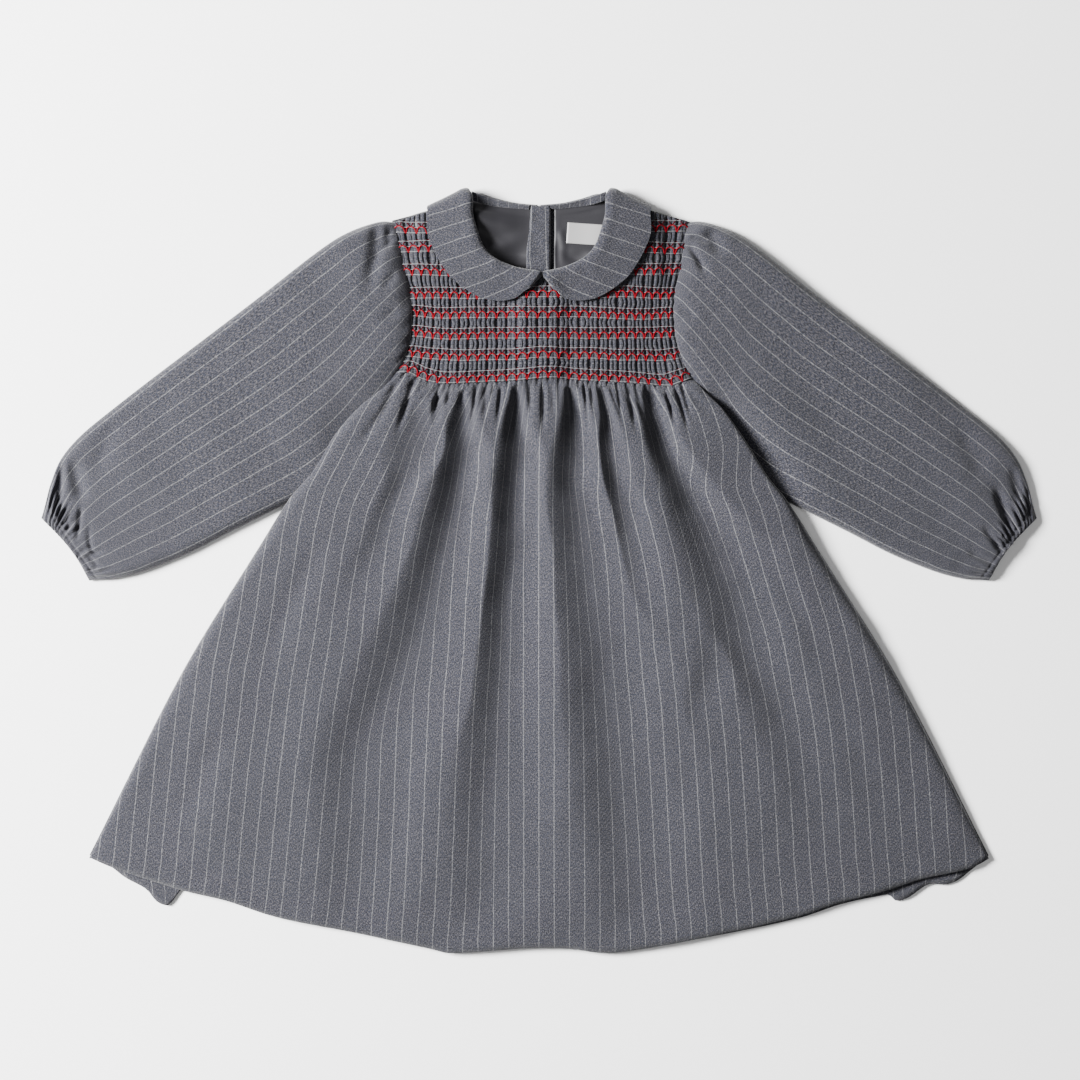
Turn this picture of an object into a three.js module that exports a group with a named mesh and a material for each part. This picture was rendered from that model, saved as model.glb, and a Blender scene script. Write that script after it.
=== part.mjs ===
// A toddler's long-sleeved smocked dress, laid flat with its front up.
// Millimetres, +Z up. The collar points to +Y, the hem to -Y, and the dress rests on z = 0.
import * as THREE from "three";

// Driving sizes
const WALL = 1.2; // cloth, with its seam allowance pressed under it
const SEAM = 0.5; // gap left between two sewn pieces
const LAYER = 0.4; // gap left between two layers that lie on each other
const LINING = 1.0;
const SHOULDER = { half: 107, y: 251 };
const NECK = { half: 51, y: 266 };
const YOKE_END = 138.5;
const PLEATS = 58;
const PLEAT_HEIGHT = 1.8;
const GATHER_PAIR = 2; // smocking pleats that open into one gather of the skirt
const STAND_WIDTH = 16;
const STAND_CENTRE = 0.5;
const LABEL = { x: 36, y: 242, width: 34, height: 16, thick: 1 };
const BUTTON = { radius: 5.5, thick: 2.2, first: 206, pitch: 30, count: 3 };
const COLLAR_PLY = 1.4; // two plies of cloth
const CUFF_GATHERS = 15;
const CAP_TUCKS = 5;
const TUBE_END = 0.22; // share of the sleeve's length along which it leaves the armhole's curve
const UNDER_SKIRT = 0.84; // share of the armhole's width that the skirt leaves free
const PUFF_SLOPE = 0.32; // share of the sleeve's width over which it rises from its folded edge
const GATHER_DEPTH = 2.4;
const FOLD_SEAT = 0.2; // room left between the front panel and the layers under it
const BINDING = { width: 6, below: 1, short: 3 }; // width, distance below the neck's edge, distance from the shoulder

// What holds the back panel off the floor: how high, where it acts in full and where no more
const HOLDS = {
  collar: { high: 2.8, within: 84, gone: 94, from: 196, full: 214 },
  buttons: { high: 2.8, within: 9, gone: 24, from: 124, full: 138 },
  sleeve: { high: 3.5, inwards: 26, within: 4, from: 20, full: 44, until: 136, gone: 156 },
};

// How the skirt's pleats merge and fade below the smocking, as shares of its length
const GATHERS = { merged: 0.05, fadeFrom: 0.04, fadeTo: 0.22, swell: 1.4 };

// Half width of the body at each height, from the shoulder tip down the armhole and the side seam
const SIDE = [
  { y: 251, half: 107 },
  { y: 217, half: 101 },
  { y: 203, half: 97.5 },
  { y: 190, half: 96 },
  { y: 171, half: 97 },
  { y: 159.5, half: 99.5 },
  { y: 140, half: 107 },
  { y: 129, half: 117 },
  { y: 118, half: 129 },
  { y: 95, half: 147.5 },
  { y: 69, half: 164 },
  { y: 51, half: 178.5 },
  { y: 17, half: 200.5 },
  { y: -75, half: 257.5 },
  { y: -205, half: 323.5 },
];
const HEM_CORNER = SIDE[SIDE.length - 1];

// Height of the front hem at each distance from the centre
const FRONT_HEM = [
  { half: 0, y: -270.5 },
  { half: 60, y: -274 },
  { half: 130, y: -260 },
  { half: 228, y: -236.5 },
  { half: 305, y: -213.5 },
  { half: 323.5, y: -205 },
];

// How far the back hem hangs below the front hem, where a fold of the back panel shows at each side
const BACK_DROP = [
  { x: -323.5, drop: -2 },
  { x: -302, drop: 4 },
  { x: -283, drop: 10 },
  { x: -270, drop: 13 },
  { x: -263, drop: 9 },
  { x: -256, drop: -3 },
  { x: 196, drop: -3 },
  { x: 215, drop: 2.5 },
  { x: 248, drop: 2.5 },
  { x: 255, drop: 9 },
  { x: 262, drop: 13 },
  { x: 290, drop: 8 },
  { x: 303, drop: 4 },
  { x: 323.5, drop: -2 },
];

// Height of the front neckline at each distance from the centre
const NECKLINE = [
  { half: 0, y: 213 },
  { half: 20, y: 216 },
  { half: 30, y: 221 },
  { half: 38, y: 228 },
  { half: 44, y: 238 },
  { half: 48, y: 250 },
  { half: 51, y: 266 },
];

// Height of the back neckline at each distance from the centre
const BACK_NECK = [
  { half: 0, y: 259 },
  { half: 25, y: 261 },
  { half: 42, y: 264.5 },
  { half: 51, y: 266 },
];

// Folds that fan out from the smocking: place across (-1 to 1) at the smocking and at the hem,
// half width across, and height in the middle of the skirt's length and at the hem
const FOLDS = [
  { top: -0.8, hem: -0.72, width: 0.075, height: 2.6, end: 1.2 },
  { top: -0.44, hem: -0.57, width: 0.085, height: 6.2, end: 2.6 },
  { top: -0.2, hem: -0.225, width: 0.07, height: 6.0, end: 2.6 },
  { top: 0.05, hem: 0.02, width: 0.085, height: 5.6, end: 2.4 },
  { top: 0.27, hem: 0.24, width: 0.06, height: 3.2, end: 0.8 },
  { top: 0.46, hem: 0.37, width: 0.08, height: 6.2, end: 1.4 },
  { top: 0.8, hem: 0.63, width: 0.085, height: 4.2, end: 1.8 },
];

// Left sleeve: its upper and lower edge, and how high the cloth stands between them, from the armhole to the cuff
const SLEEVE = [
  { upX: 107.6, upY: 251, lowX: 129.6, lowY: 118.5, puff: 2.4, gathered: 0.5 },
  { upX: 119, upY: 251.5, lowX: 129.5, lowY: 108, puff: 3.2, gathered: 0 },
  { upX: 140, upY: 243.5, lowX: 132, lowY: 94, puff: 3.5, gathered: 0 },
  { upX: 162, upY: 228.5, lowX: 142, lowY: 77, puff: 3.5, gathered: 0 },
  { upX: 200, upY: 198.5, lowX: 161, lowY: 60, puff: 3.3, gathered: 0 },
  { upX: 240, upY: 168, lowX: 190, lowY: 44.5, puff: 3.3, gathered: 0 },
  { upX: 277, upY: 140, lowX: 223, lowY: 28, puff: 3.4, gathered: 0 },
  { upX: 306, upY: 117.5, lowX: 250, lowY: 14, puff: 3.5, gathered: 0 },
  { upX: 329, upY: 98.5, lowX: 271, lowY: 5, puff: 3.5, gathered: 0.1 },
  { upX: 343.5, upY: 81.5, lowX: 289, lowY: -1.5, puff: 3.5, gathered: 0.3 },
  { upX: 351, upY: 64, lowX: 305, lowY: -5.3, puff: 3.5, gathered: 0.6 },
  { upX: 354.5, upY: 51, lowX: 315, lowY: -6, puff: 3.4, gathered: 1 },
  { upX: 356.5, upY: 43.5, lowX: 320, lowY: -6.3, puff: 3.2, gathered: 1 },
  { upX: 358, upY: 38.7, lowX: 323.3, lowY: -6.6, puff: 3, gathered: 0.8 },
];

// Left collar from the front tip to the shoulder fold, then under the back: neck edge and outer edge
const COLLAR = [
  { inX: 0.9, inY: 215.3, outX: 1.3, outY: 213.6, turn: 0 },
  { inX: 1.3, inY: 215.5, outX: 5.8, outY: 208.4, turn: 0 },
  { inX: 1.9, inY: 215.6, outX: 10.8, outY: 202, turn: 0 },
  { inX: 4, inY: 215.7, outX: 18.7, outY: 196.2, turn: 0 },
  { inX: 8.6, inY: 215.9, outX: 29.5, outY: 194.5, turn: 0 },
  { inX: 17.3, inY: 217, outX: 41.8, outY: 196.7, turn: 0 },
  { inX: 27.4, inY: 221, outX: 53.6, outY: 203.4, turn: 0 },
  { inX: 35.6, inY: 226.4, outX: 63.4, outY: 211.3, turn: 0 },
  { inX: 41.4, inY: 234, outX: 70.2, outY: 221, turn: 0 },
  { inX: 45.4, inY: 245.2, outX: 75.6, outY: 231.1, turn: 0 },
  { inX: 48.2, inY: 256, outX: 79.9, outY: 243, turn: 0 },
  { inX: 50.8, inY: 273.5, outX: 82.8, outY: 259.9, turn: 0 },
  { inX: 50.8, inY: 273.5, outX: 82.8, outY: 259.9, turn: 45 },
  { inX: 50.8, inY: 273.5, outX: 82.8, outY: 259.9, turn: 90 },
  { inX: 50.8, inY: 273.5, outX: 82.8, outY: 259.9, turn: 135 },
  { inX: 50.8, inY: 273.5, outX: 82.8, outY: 259.9, turn: 180 },
  { inX: 42, inY: 270.4, outX: 77, outY: 239, turn: 180 },
  { inX: 30.2, inY: 267, outX: 59.8, outY: 227.2, turn: 180 },
  { inX: 16.6, inY: 264, outX: 31.7, outY: 221.4, turn: 180 },
  { inX: 1.1, inY: 262.6, outX: 1.5, outY: 220.3, turn: 180 },
];

// The collar's roll at the neck seam: distance from the neck edge and height, on the front and under the back
const COLLAR_PROFILE = [
  { front: 2.2, back: 2.6, frontHigh: -0.2, backHigh: -3.6 },
  { front: 0.7, back: 0.7, frontHigh: 0.8, backHigh: -2.6 },
  { front: 1.2, back: 1.2, frontHigh: 2.1, backHigh: -0.8 },
  { front: 3.6, back: 3.6, frontHigh: 2.5, backHigh: 0 },
  { front: 9, back: 8, frontHigh: 1.4, backHigh: 0 },
];
const COLLAR_SEAT_Y = 262; // beyond this the collar lies over the neck's edge
const COLLAR_TIP = 14; // a leaf narrower than this is flatter in proportion

const mix = (a, b, t) => a + (b - a) * t;
const clamp = (x, low, high) => Math.min(high, Math.max(low, x));
const smooth = (from, to, x) => {
  const t = clamp((x - from) / (to - from), 0, 1);
  return t * t * (3 - 2 * t);
};
const steps = (count) => Array.from({ length: count + 1 }, (_, i) => i / count);

// A column of a table as a smooth function of another column, whose values run one way
function tableCurve(table, from, to) {
  const rows = [...table].sort((a, b) => a[from] - b[from]);
  const slope = (i) => {
    const before = rows[Math.max(0, i - 1)];
    const after = rows[Math.min(rows.length - 1, i + 1)];
    return (after[to] - before[to]) / (after[from] - before[from]);
  };
  return (at) => {
    let i = 0;
    while (i < rows.length - 2 && at > rows[i + 1][from]) i += 1;
    const [a, b] = [rows[i], rows[i + 1]];
    const span = b[from] - a[from];
    const t = clamp((at - a[from]) / span, 0, 1);
    const [m0, m1] = [slope(i) * span, slope(i + 1) * span];
    const [t2, t3] = [t * t, t * t * t];
    return (2 * t3 - 3 * t2 + 1) * a[to] + (t3 - 2 * t2 + t) * m0 + (3 * t2 - 2 * t3) * b[to] + (t3 - t2) * m1;
  };
}

const sideHalf = tableCurve(SIDE, "y", "half");
const frontHem = tableCurve(FRONT_HEM, "half", "y");
const neckline = tableCurve(NECKLINE, "half", "y");
const backNeck = tableCurve(BACK_NECK, "half", "y");
const backDrop = tableCurve(BACK_DROP, "x", "drop");
const sleeveLow = tableCurve(SLEEVE.slice(0, 7), "lowY", "lowX");
const ARMPIT = SLEEVE[0];
const SLEEVE_LEAVES = SLEEVE[5]; // here the skirt's edge no longer lies on the sleeve

// The straight shoulder seam
const shoulder = (half) => mix(NECK.y, SHOULDER.y, (half - NECK.half) / (SHOULDER.half - NECK.half));
// The last row of smocking dips a little at each side of the centre and turns up at its ends
const yokeEnd = (s) => YOKE_END - 2.2 * Math.sin(Math.PI * Math.abs(s) ** 1.2) ** 2 + 2 * s ** 8;

// How far the back panel is lifted off the floor: by the collar and buttons under it, and by the sleeve's corner
function lift(x, y) {
  const half = Math.abs(x);
  const { collar, buttons, sleeve } = HOLDS;
  const overCollar = (1 - smooth(collar.within, collar.gone, half)) * smooth(collar.from, collar.full, y);
  const overButtons = (1 - smooth(buttons.within, buttons.gone, half)) * smooth(buttons.from, buttons.full, y);
  const low = y > ARMPIT.lowY ? sideHalf(y) : sleeveLow(Math.max(y, SLEEVE_LEAVES.lowY));
  const across = smooth(low - sleeve.inwards, low - sleeve.within, half);
  const overSleeve = across * smooth(sleeve.from, sleeve.full, y) * (1 - smooth(sleeve.until, sleeve.gone, y));
  return Math.max(collar.high * overCollar, buttons.high * overButtons, sleeve.high * overSleeve);
}

const LINING_TOP = WALL + LAYER + LINING; // above the lifted back panel
const YOKE_SEAT = LINING_TOP + LAYER + WALL + LAYER + FOLD_SEAT; // clears the button stand and the label
const SIDE_SEAT = LINING_TOP + LAYER + FOLD_SEAT / 2;

// The front panel's height above the lifted back, at the smocking: it rises from the sides to the middle
const yokeSeat = (s) => mix(SIDE_SEAT, YOKE_SEAT, 1 - smooth(0.5, 0.95, Math.abs(s)));

// A fold's height along the skirt: it grows over the first quarter and sinks towards the hem
function foldHeight(fold, t) {
  const crest = 0.25;
  if (t < crest) return mix(0.35, 1, smooth(0, crest, t)) * fold.height;
  return mix(fold.height, fold.end, smooth(crest, 1, t));
}

// Height of the front panel's inner face. s runs across, -1 to 1, and t from the smocking to the hem.
function skirtInside(s, t, x, y) {
  let fold = 0;
  for (const f of FOLDS) {
    const centre = mix(f.top, f.hem, t);
    const bell = Math.exp(-(((s - centre) / f.width) ** 2));
    fold += bell * foldHeight(f, t);
  }
  const edge = 1 - Math.abs(s) ** 6; // the cloth stays down along the side seams
  const seat = mix(yokeSeat(s), WALL + LAYER, smooth(0, 0.2, t));
  const air = 2 * LAYER * edge * smooth(0, 0.3, t);
  return lift(x, y) + seat + air + fold * edge;
}

function yokeInside(s, x, y) {
  return lift(x, y) + yokeSeat(s);
}

// Rounded ridges with sharp valleys between them, 0 to 1
const ridge = (phase) => Math.abs(Math.cos(Math.PI * phase));
const pleatPhase = (s) => ((s + 1) / 2) * PLEATS + 0.5;

function yokeTop(s) {
  let y = SHOULDER.y;
  for (let i = 0; i < 12; i += 1) {
    const half = Math.abs(s) * sideHalf(y);
    y = half < NECK.half ? neckline(half) : shoulder(half);
  }
  return y;
}

// A point of the front panel. down runs 0 to 1 over the smocking and 1 to 2 over the skirt.
function frontPoint(s, down, outer) {
  if (down <= 1) {
    const y = mix(yokeTop(s), yokeEnd(s), down);
    const x = s * sideHalf(y);
    const pleat = ridge(pleatPhase(s)) * PLEAT_HEIGHT;
    return new THREE.Vector3(x, y, yokeInside(s, x, y) + (outer ? WALL + pleat : 0));
  }
  const t = down - 1;
  const sideY = mix(yokeEnd(1), HEM_CORNER.y, t);
  const x = s * sideHalf(sideY);
  const y = mix(yokeEnd(s), frontHem(Math.abs(s) * HEM_CORNER.half), t);
  const opening = smooth(0, GATHERS.merged, t);
  const gather = GATHERS.swell * ridge(pleatPhase(s) / GATHER_PAIR);
  const pleat = mix(ridge(pleatPhase(s)), gather, opening);
  const fading = 1 - smooth(GATHERS.fadeFrom, GATHERS.fadeTo, t);
  return new THREE.Vector3(x, y, skirtInside(s, t, x, y) + (outer ? WALL + pleat * PLEAT_HEIGHT * fading : 0));
}

// A row of points from one side of a panel to the other, each with its place along the row
const rowOf = (count, point) => steps(count).map((along) => ({ along, point: point(along) }));

// Triangles between two rows that may hold different numbers of points
function zip(upper, lower, facets) {
  let [i, j] = [0, 0];
  while (i < upper.length - 1 || j < lower.length - 1) {
    const nextUpper = i < upper.length - 1 ? upper[i + 1].along : Infinity;
    const nextLower = j < lower.length - 1 ? lower[j + 1].along : Infinity;
    if (nextUpper < nextLower || (nextUpper === nextLower && i <= j)) {
      facets.push([upper[i].point, lower[j].point, upper[i + 1].point]);
      i += 1;
    } else {
      facets.push([upper[i].point, lower[j].point, lower[j + 1].point]);
      j += 1;
    }
  }
}

function geometryOf(facets) {
  const numbers = facets.flatMap((f) => f.flatMap((p) => [p.x, p.y, p.z]));
  const geometry = new THREE.BufferGeometry();
  geometry.setAttribute("position", new THREE.Float32BufferAttribute(numbers, 3));
  geometry.computeVertexNormals();
  return geometry;
}

// The first or last points of all rows, as a row down the panel's edge
const edgeOf = (rows, last) =>
  rows.map((row, i) => ({ along: i / (rows.length - 1), point: row[last ? row.length - 1 : 0].point }));

// A closed wall between an upper and a lower face. Rows run from the top edge down, points from -X to +X.
function wall(upper, lower) {
  const facets = [];
  for (let i = 0; i + 1 < upper.length; i += 1) zip(upper[i], upper[i + 1], facets);
  const under = [];
  for (let i = 0; i + 1 < lower.length; i += 1) zip(lower[i], lower[i + 1], under);
  zip(upper[upper.length - 1], lower[lower.length - 1], facets);
  zip(lower[0], upper[0], facets);
  zip(edgeOf(lower, false), edgeOf(upper, false), under);
  zip(edgeOf(upper, true), edgeOf(lower, true), under);
  return geometryOf([...facets, ...under.map(([a, b, c]) => [a, c, b])]);
}

// A panel given by one function of place across (-1 to 1), place down and face
function panel(point, upperRows, lowerRows) {
  const rows = (list, outer) =>
    list.map(({ down, columns }) => rowOf(columns, (along) => point(along * 2 - 1, down, outer)));
  return wall(rows(upperRows, true), rows(lowerRows, false));
}

const evenRows = (from, to, count, columns) => steps(count).map((t) => ({ down: mix(from, to, t), columns }));

// The rows are close together where the pleats open into gathers
function frontPanel() {
  const pleatColumns = PLEATS * 2;
  const upper = [
    ...evenRows(0, 1, 6, pleatColumns),
    { down: 1.02, columns: pleatColumns },
    { down: 1.055, columns: pleatColumns },
    { down: 1.11, columns: pleatColumns },
    ...evenRows(1.15, 1.36, 6, pleatColumns / 2),
    ...evenRows(1.47, 2, 5, pleatColumns / 2),
  ];
  const lower = [...evenRows(0, 1, 5, 40), ...evenRows(1.03, 1.36, 9, 58), ...evenRows(1.47, 2, 5, 48)];
  return panel(frontPoint, upper, lower);
}

function backSkirt() {
  const point = (s, t, outer) => {
    const sideY = mix(yokeEnd(1) - SEAM, HEM_CORNER.y, t);
    const x = s * (sideHalf(sideY) - LAYER * (1 - t));
    const hem = frontHem(Math.abs(s) * HEM_CORNER.half) - backDrop(s * HEM_CORNER.half);
    const y = mix(yokeEnd(1) - SEAM, hem, t);
    return new THREE.Vector3(x, y, lift(x, y) + (outer ? WALL : 0));
  };
  const rows = [
    ...evenRows(0, 0.36, 10, 40),
    { down: 0.55, columns: 24 },
    { down: 0.8, columns: 30 },
    { down: 0.93, columns: 60 },
    { down: 1, columns: 120 },
  ];
  return panel(point, rows, rows);
}

// A piece of the back yoke or its lining between two distances from the centre, at a height above the lift
function backYoke(nearX, side, under, thick, inset) {
  const point = (s, down, outer) => {
    const across = (s + 1) / 2;
    const toward = side > 0 ? across : 1 - across;
    let y = SHOULDER.y;
    let x = 0;
    for (let i = 0; i < 12; i += 1) {
      const farX = sideHalf(y) - LAYER - inset;
      x = mix(nearX, farX, toward);
      const top = (Math.abs(x) < NECK.half ? backNeck(Math.abs(x)) : shoulder(Math.abs(x))) - inset - LAYER;
      y = mix(top, yokeEnd(1) + inset, down);
    }
    return new THREE.Vector3(side * x, y, lift(x, y) + under + (outer ? thick : 0));
  };
  const rows = evenRows(0, 1, 9, 16);
  return panel(point, rows, rows);
}

// The strip that binds the back neck, on top of the lining
function neckBinding(side) {
  const nearX = side < 0 ? STAND_WIDTH / 2 - STAND_CENTRE + LAYER : STAND_WIDTH / 2 + STAND_CENTRE + LAYER;
  const point = (s, down, outer) => {
    const x = mix(nearX, NECK.half - BINDING.short, side > 0 ? (s + 1) / 2 : (1 - s) / 2);
    const y = backNeck(x) - LAYER - BINDING.below - BINDING.width * down;
    return new THREE.Vector3(side * x, y, lift(x, y) + LINING_TOP + LAYER + (outer ? LINING : 0));
  };
  const rows = evenRows(0, 1, 2, 14);
  return panel(point, rows, rows);
}

function buttonStand() {
  const point = (s, down, outer) => {
    const x = STAND_CENTRE + (s * STAND_WIDTH) / 2;
    const y = mix(backNeck(x) - LAYER - 1, yokeEnd(1) + 2, down);
    return new THREE.Vector3(x, y, lift(x, y) + LINING_TOP + LAYER + (outer ? WALL : 0));
  };
  const rows = evenRows(0, 1, 14, 6);
  return panel(point, rows, rows);
}

function neckLabel() {
  const point = (s, down, outer) => {
    const x = LABEL.x + (s * LABEL.width) / 2;
    const y = LABEL.y + LABEL.height * (0.5 - down);
    return new THREE.Vector3(x, y, lift(x, y) + LINING_TOP + LAYER + (outer ? LABEL.thick : 0));
  };
  const rows = evenRows(0, 1, 4, 6);
  return panel(point, rows, rows);
}

// The sleeve as rings: its lower layer lies on the floor and its upper layer stands above it
function sleeve(side) {
  const at = (name) => tableCurve(SLEEVE.map((row, i) => ({ ...row, place: i / (SLEEVE.length - 1) })), "place", name);
  const [upX, upY, lowX, lowY, puff, gathered] = ["upX", "upY", "lowX", "lowY", "puff", "gathered"].map(at);
  const edgeHeight = 2 * WALL + LAYER;
  const plan = (v, w) => {
    const chordX = mix(upX(v), lowX(v), w);
    const y = mix(upY(v), lowY(v), w);
    const bow = sideHalf(mix(upY(0), lowY(0), w)) + 2 * SEAM - mix(upX(0), lowX(0), w);
    return { x: chordX + bow * (1 - smooth(0, TUBE_END, v)), y };
  };
  const height = (v, w, inner) => {
    const low = mix(UNDER_SKIRT, 1, smooth(TUBE_END, 2 * TUBE_END, v));
    const bump = smooth(0, PUFF_SLOPE, w) * (1 - smooth(low - PUFF_SLOPE, low, w));
    const crest = inner ? -0.5 : ridge(w * (v < 0.3 ? CAP_TUCKS : CUFF_GATHERS)) - 0.5;
    return edgeHeight + puff(v) * bump + GATHER_DEPTH * gathered(v) * crest * Math.sin(Math.PI * w) ** 0.5;
  };
  const ring = (v, count, inner) => {
    const width = Math.hypot(upX(v) - lowX(v), upY(v) - lowY(v));
    const inset = inner ? (WALL + 0.1) / width : 0;
    const upper = steps(count).map((t) => {
      const w = mix(inset, 1 - inset, t);
      const { x, y } = plan(v, w);
      const top = Math.max(height(v, w, inner), edgeHeight);
      return new THREE.Vector3(side * x, y, inner ? top - WALL : top);
    });
    const lower = steps(inner ? 6 : 8).map((t) => {
      const w = mix(1 - inset, inset, t);
      const { x, y } = plan(v, w);
      return new THREE.Vector3(side * x, y, inner ? WALL : 0);
    });
    const all = [...upper, ...lower, upper[0]];
    return all.map((point, i) => ({ along: i / (all.length - 1), point }));
  };
  const places = [0, 0.04, 0.09, 0.16, 0.25, 0.36, 0.47, 0.56, 0.64, 0.71, 0.78, 0.85, 0.92, 0.96, 1];
  const outer = places.map((v) => ring(v, CUFF_GATHERS * 2, false));
  const inner = places.filter((_, i) => i % 2 === 0).map((v) => ring(v, CUFF_GATHERS, true));
  const [facets, inside] = [[], []];
  for (let i = 0; i + 1 < outer.length; i += 1) zip(outer[i], outer[i + 1], facets);
  for (let i = 0; i + 1 < inner.length; i += 1) zip(inner[i], inner[i + 1], inside);
  zip(outer[outer.length - 1], inner[inner.length - 1], facets);
  zip(inner[0], outer[0], facets);
  const all = [...facets, ...inside.map(([a, b, c]) => [a, c, b])];
  return geometryOf(side < 0 ? all : all.map(([a, b, c]) => [a, c, b]));
}

// Height of the highest point of the smocking near a place under the collar
const smockingTop = (x, y) => {
  const seatY = Math.min(y, COLLAR_SEAT_Y);
  const s = clamp(x / sideHalf(seatY), -1, 1);
  return yokeInside(s, x, seatY) + WALL + PLEAT_HEIGHT;
};

// A collar leaf: its rows run from the neck seam over the roll to the outer edge
function collar(side) {
  const floorLeaf = COLLAR_PLY / 2;
  const lines = COLLAR.map(({ inX, inY, outX, outY, turn }) => {
    const along = new THREE.Vector3(outX - inX, outY - inY, 0);
    const length = along.length();
    along.normalize();
    const angle = (turn * Math.PI) / 180;
    const outward = new THREE.Vector3(-along.y, along.x, 0);
    if (outward.y < 0) outward.negate();
    const small = Math.min(1, length / COLLAR_TIP);
    const under = (1 - Math.cos(angle)) / 2; // 0 on the front, 1 under the back
    const profile = COLLAR_PROFILE.map(({ front, back, frontHigh, backHigh }) => ({
      far: mix(front, back, under) * small,
      high: mix(frontHigh, backHigh, under) * small,
    }));
    profile.push({ far: length * 0.6, high: 0.3 * (1 - under) * small }, { far: length, high: 0 });
    return profile.map(({ far, high }) => {
      const flat = new THREE.Vector3(inX, inY, 0).addScaledVector(along, far);
      if (turn === 180) return flat.setZ(floorLeaf - high);
      const top = smockingTop(flat.x, flat.y) + 2.5 * LAYER + COLLAR_PLY / 2;
      const radius = turn > 0 ? (top - floorLeaf) / 2 : 0;
      const normal = new THREE.Vector3(0, 0, Math.cos(angle)).addScaledVector(outward, Math.sin(angle));
      return flat
        .addScaledVector(outward, -radius)
        .setZ(top - radius)
        .addScaledVector(normal, radius + high);
    });
  });
  // Both faces are the middle surface moved along its own normal
  const grid = lines.map((line) => line.map((p) => new THREE.Vector3(-p.x, p.y, p.z)));
  const normalAt = (i, j) => {
    const last = [grid.length - 1, grid[0].length - 1];
    const down = grid[Math.min(i + 1, last[0])][j].clone().sub(grid[Math.max(i - 1, 0)][j]);
    const over = grid[i][Math.min(j + 1, last[1])].clone().sub(grid[i][Math.max(j - 1, 0)]);
    return down.cross(over).normalize();
  };
  const face = (sign) =>
    grid.map((line, i) =>
      line.map((p, j) => {
        const moved = p.clone().addScaledVector(normalAt(i, j), (sign * COLLAR_PLY) / 2);
        return { along: j / (line.length - 1), point: new THREE.Vector3(moved.x, moved.y, Math.max(moved.z, 0)) };
      }),
    );
  const geometry = wall(face(1), face(-1));
  if (side > 0) geometry.applyMatrix4(new THREE.Matrix4().makeScale(-1, 1, 1));
  return side > 0 ? turnedInsideOut(geometry) : geometry;
}

function turnedInsideOut(geometry) {
  const place = geometry.getAttribute("position");
  const facets = [];
  for (let i = 0; i < place.count; i += 3) {
    const [a, b, c] = [0, 1, 2].map((k) => new THREE.Vector3().fromBufferAttribute(place, i + k));
    facets.push([a, c, b]);
  }
  return geometryOf(facets);
}

function button(index) {
  const { radius, thick, first, pitch } = BUTTON;
  const rim = 0.4;
  const profile = [
    new THREE.Vector2(0, 0),
    new THREE.Vector2(radius - rim, 0),
    new THREE.Vector2(radius, rim),
    new THREE.Vector2(radius, thick - rim),
    new THREE.Vector2(radius - rim, thick),
    new THREE.Vector2(0, thick),
  ];
  const geometry = new THREE.LatheGeometry(profile, 20);
  geometry.rotateX(Math.PI / 2);
  geometry.translate(STAND_CENTRE, first - index * pitch, 0);
  return geometry;
}

const wool = new THREE.MeshStandardMaterial({ color: 0x5d6069, roughness: 0.95, metalness: 0 });
const satin = new THREE.MeshStandardMaterial({ color: 0x565560, roughness: 0.7, metalness: 0 });
const white = new THREE.MeshStandardMaterial({ color: 0xd6d6d6, roughness: 0.6, metalness: 0 });
const horn = new THREE.MeshStandardMaterial({ color: 0x4a4c54, roughness: 0.4, metalness: 0 });

const dress = new THREE.Group();
function add(name, geometry, material) {
  const mesh = new THREE.Mesh(geometry, material);
  mesh.name = name;
  dress.add(mesh);
}

add("front_panel", frontPanel(), wool);
add("back_skirt", backSkirt(), wool);
for (const [name, side] of [
  ["left", -1],
  ["right", 1],
]) {
  const nearX = side * STAND_CENTRE + SEAM;
  add(`back_yoke_${name}`, backYoke(nearX, side, 0, WALL, 0), wool);
  add(`back_lining_${name}`, backYoke(nearX, side, WALL + LAYER, LINING, 1), satin);
  add(`neck_binding_${name}`, neckBinding(side), satin);
  add(`sleeve_${name}`, sleeve(side), wool);
  add(`collar_${name}`, collar(side), wool);
}
add("button_stand", buttonStand(), wool);
add("neck_label", neckLabel(), white);
for (let i = 0; i < BUTTON.count; i += 1) add(`button_${i + 1}`, button(i), horn);

export default dress;
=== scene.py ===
"""A toddler's smocked wool dress, laid flat with its front up.

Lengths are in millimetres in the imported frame, unless a name says otherwise: +X runs to the right,
+Y towards the collar and +Z up from the surface that the dress lies on. Meshes are made in metres.
"""

from __future__ import annotations

import logging
import math
from dataclasses import dataclass
from enum import Enum
from functools import partial
from typing import Callable, NamedTuple, Sequence

import bpy
import numpy as np
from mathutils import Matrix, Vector

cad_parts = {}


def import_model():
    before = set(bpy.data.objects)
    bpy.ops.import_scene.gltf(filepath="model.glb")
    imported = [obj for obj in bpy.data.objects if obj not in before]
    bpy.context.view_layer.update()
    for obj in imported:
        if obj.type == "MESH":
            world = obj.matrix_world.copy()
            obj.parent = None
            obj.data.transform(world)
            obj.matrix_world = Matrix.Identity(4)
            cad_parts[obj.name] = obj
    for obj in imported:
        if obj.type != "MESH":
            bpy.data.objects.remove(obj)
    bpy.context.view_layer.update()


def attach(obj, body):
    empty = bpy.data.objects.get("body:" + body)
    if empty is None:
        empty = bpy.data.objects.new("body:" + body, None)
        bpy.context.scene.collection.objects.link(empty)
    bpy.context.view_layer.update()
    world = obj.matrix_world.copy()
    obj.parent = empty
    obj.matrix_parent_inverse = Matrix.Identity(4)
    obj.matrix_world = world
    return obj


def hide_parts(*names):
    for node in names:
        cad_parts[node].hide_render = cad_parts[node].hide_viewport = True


log = logging.getLogger("dress")

MM = 0.001
UV_NAME = "cloth"
Colour = tuple[float, float, float]
Spot = tuple[float, float]
Place = tuple[float, float, float]


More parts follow.
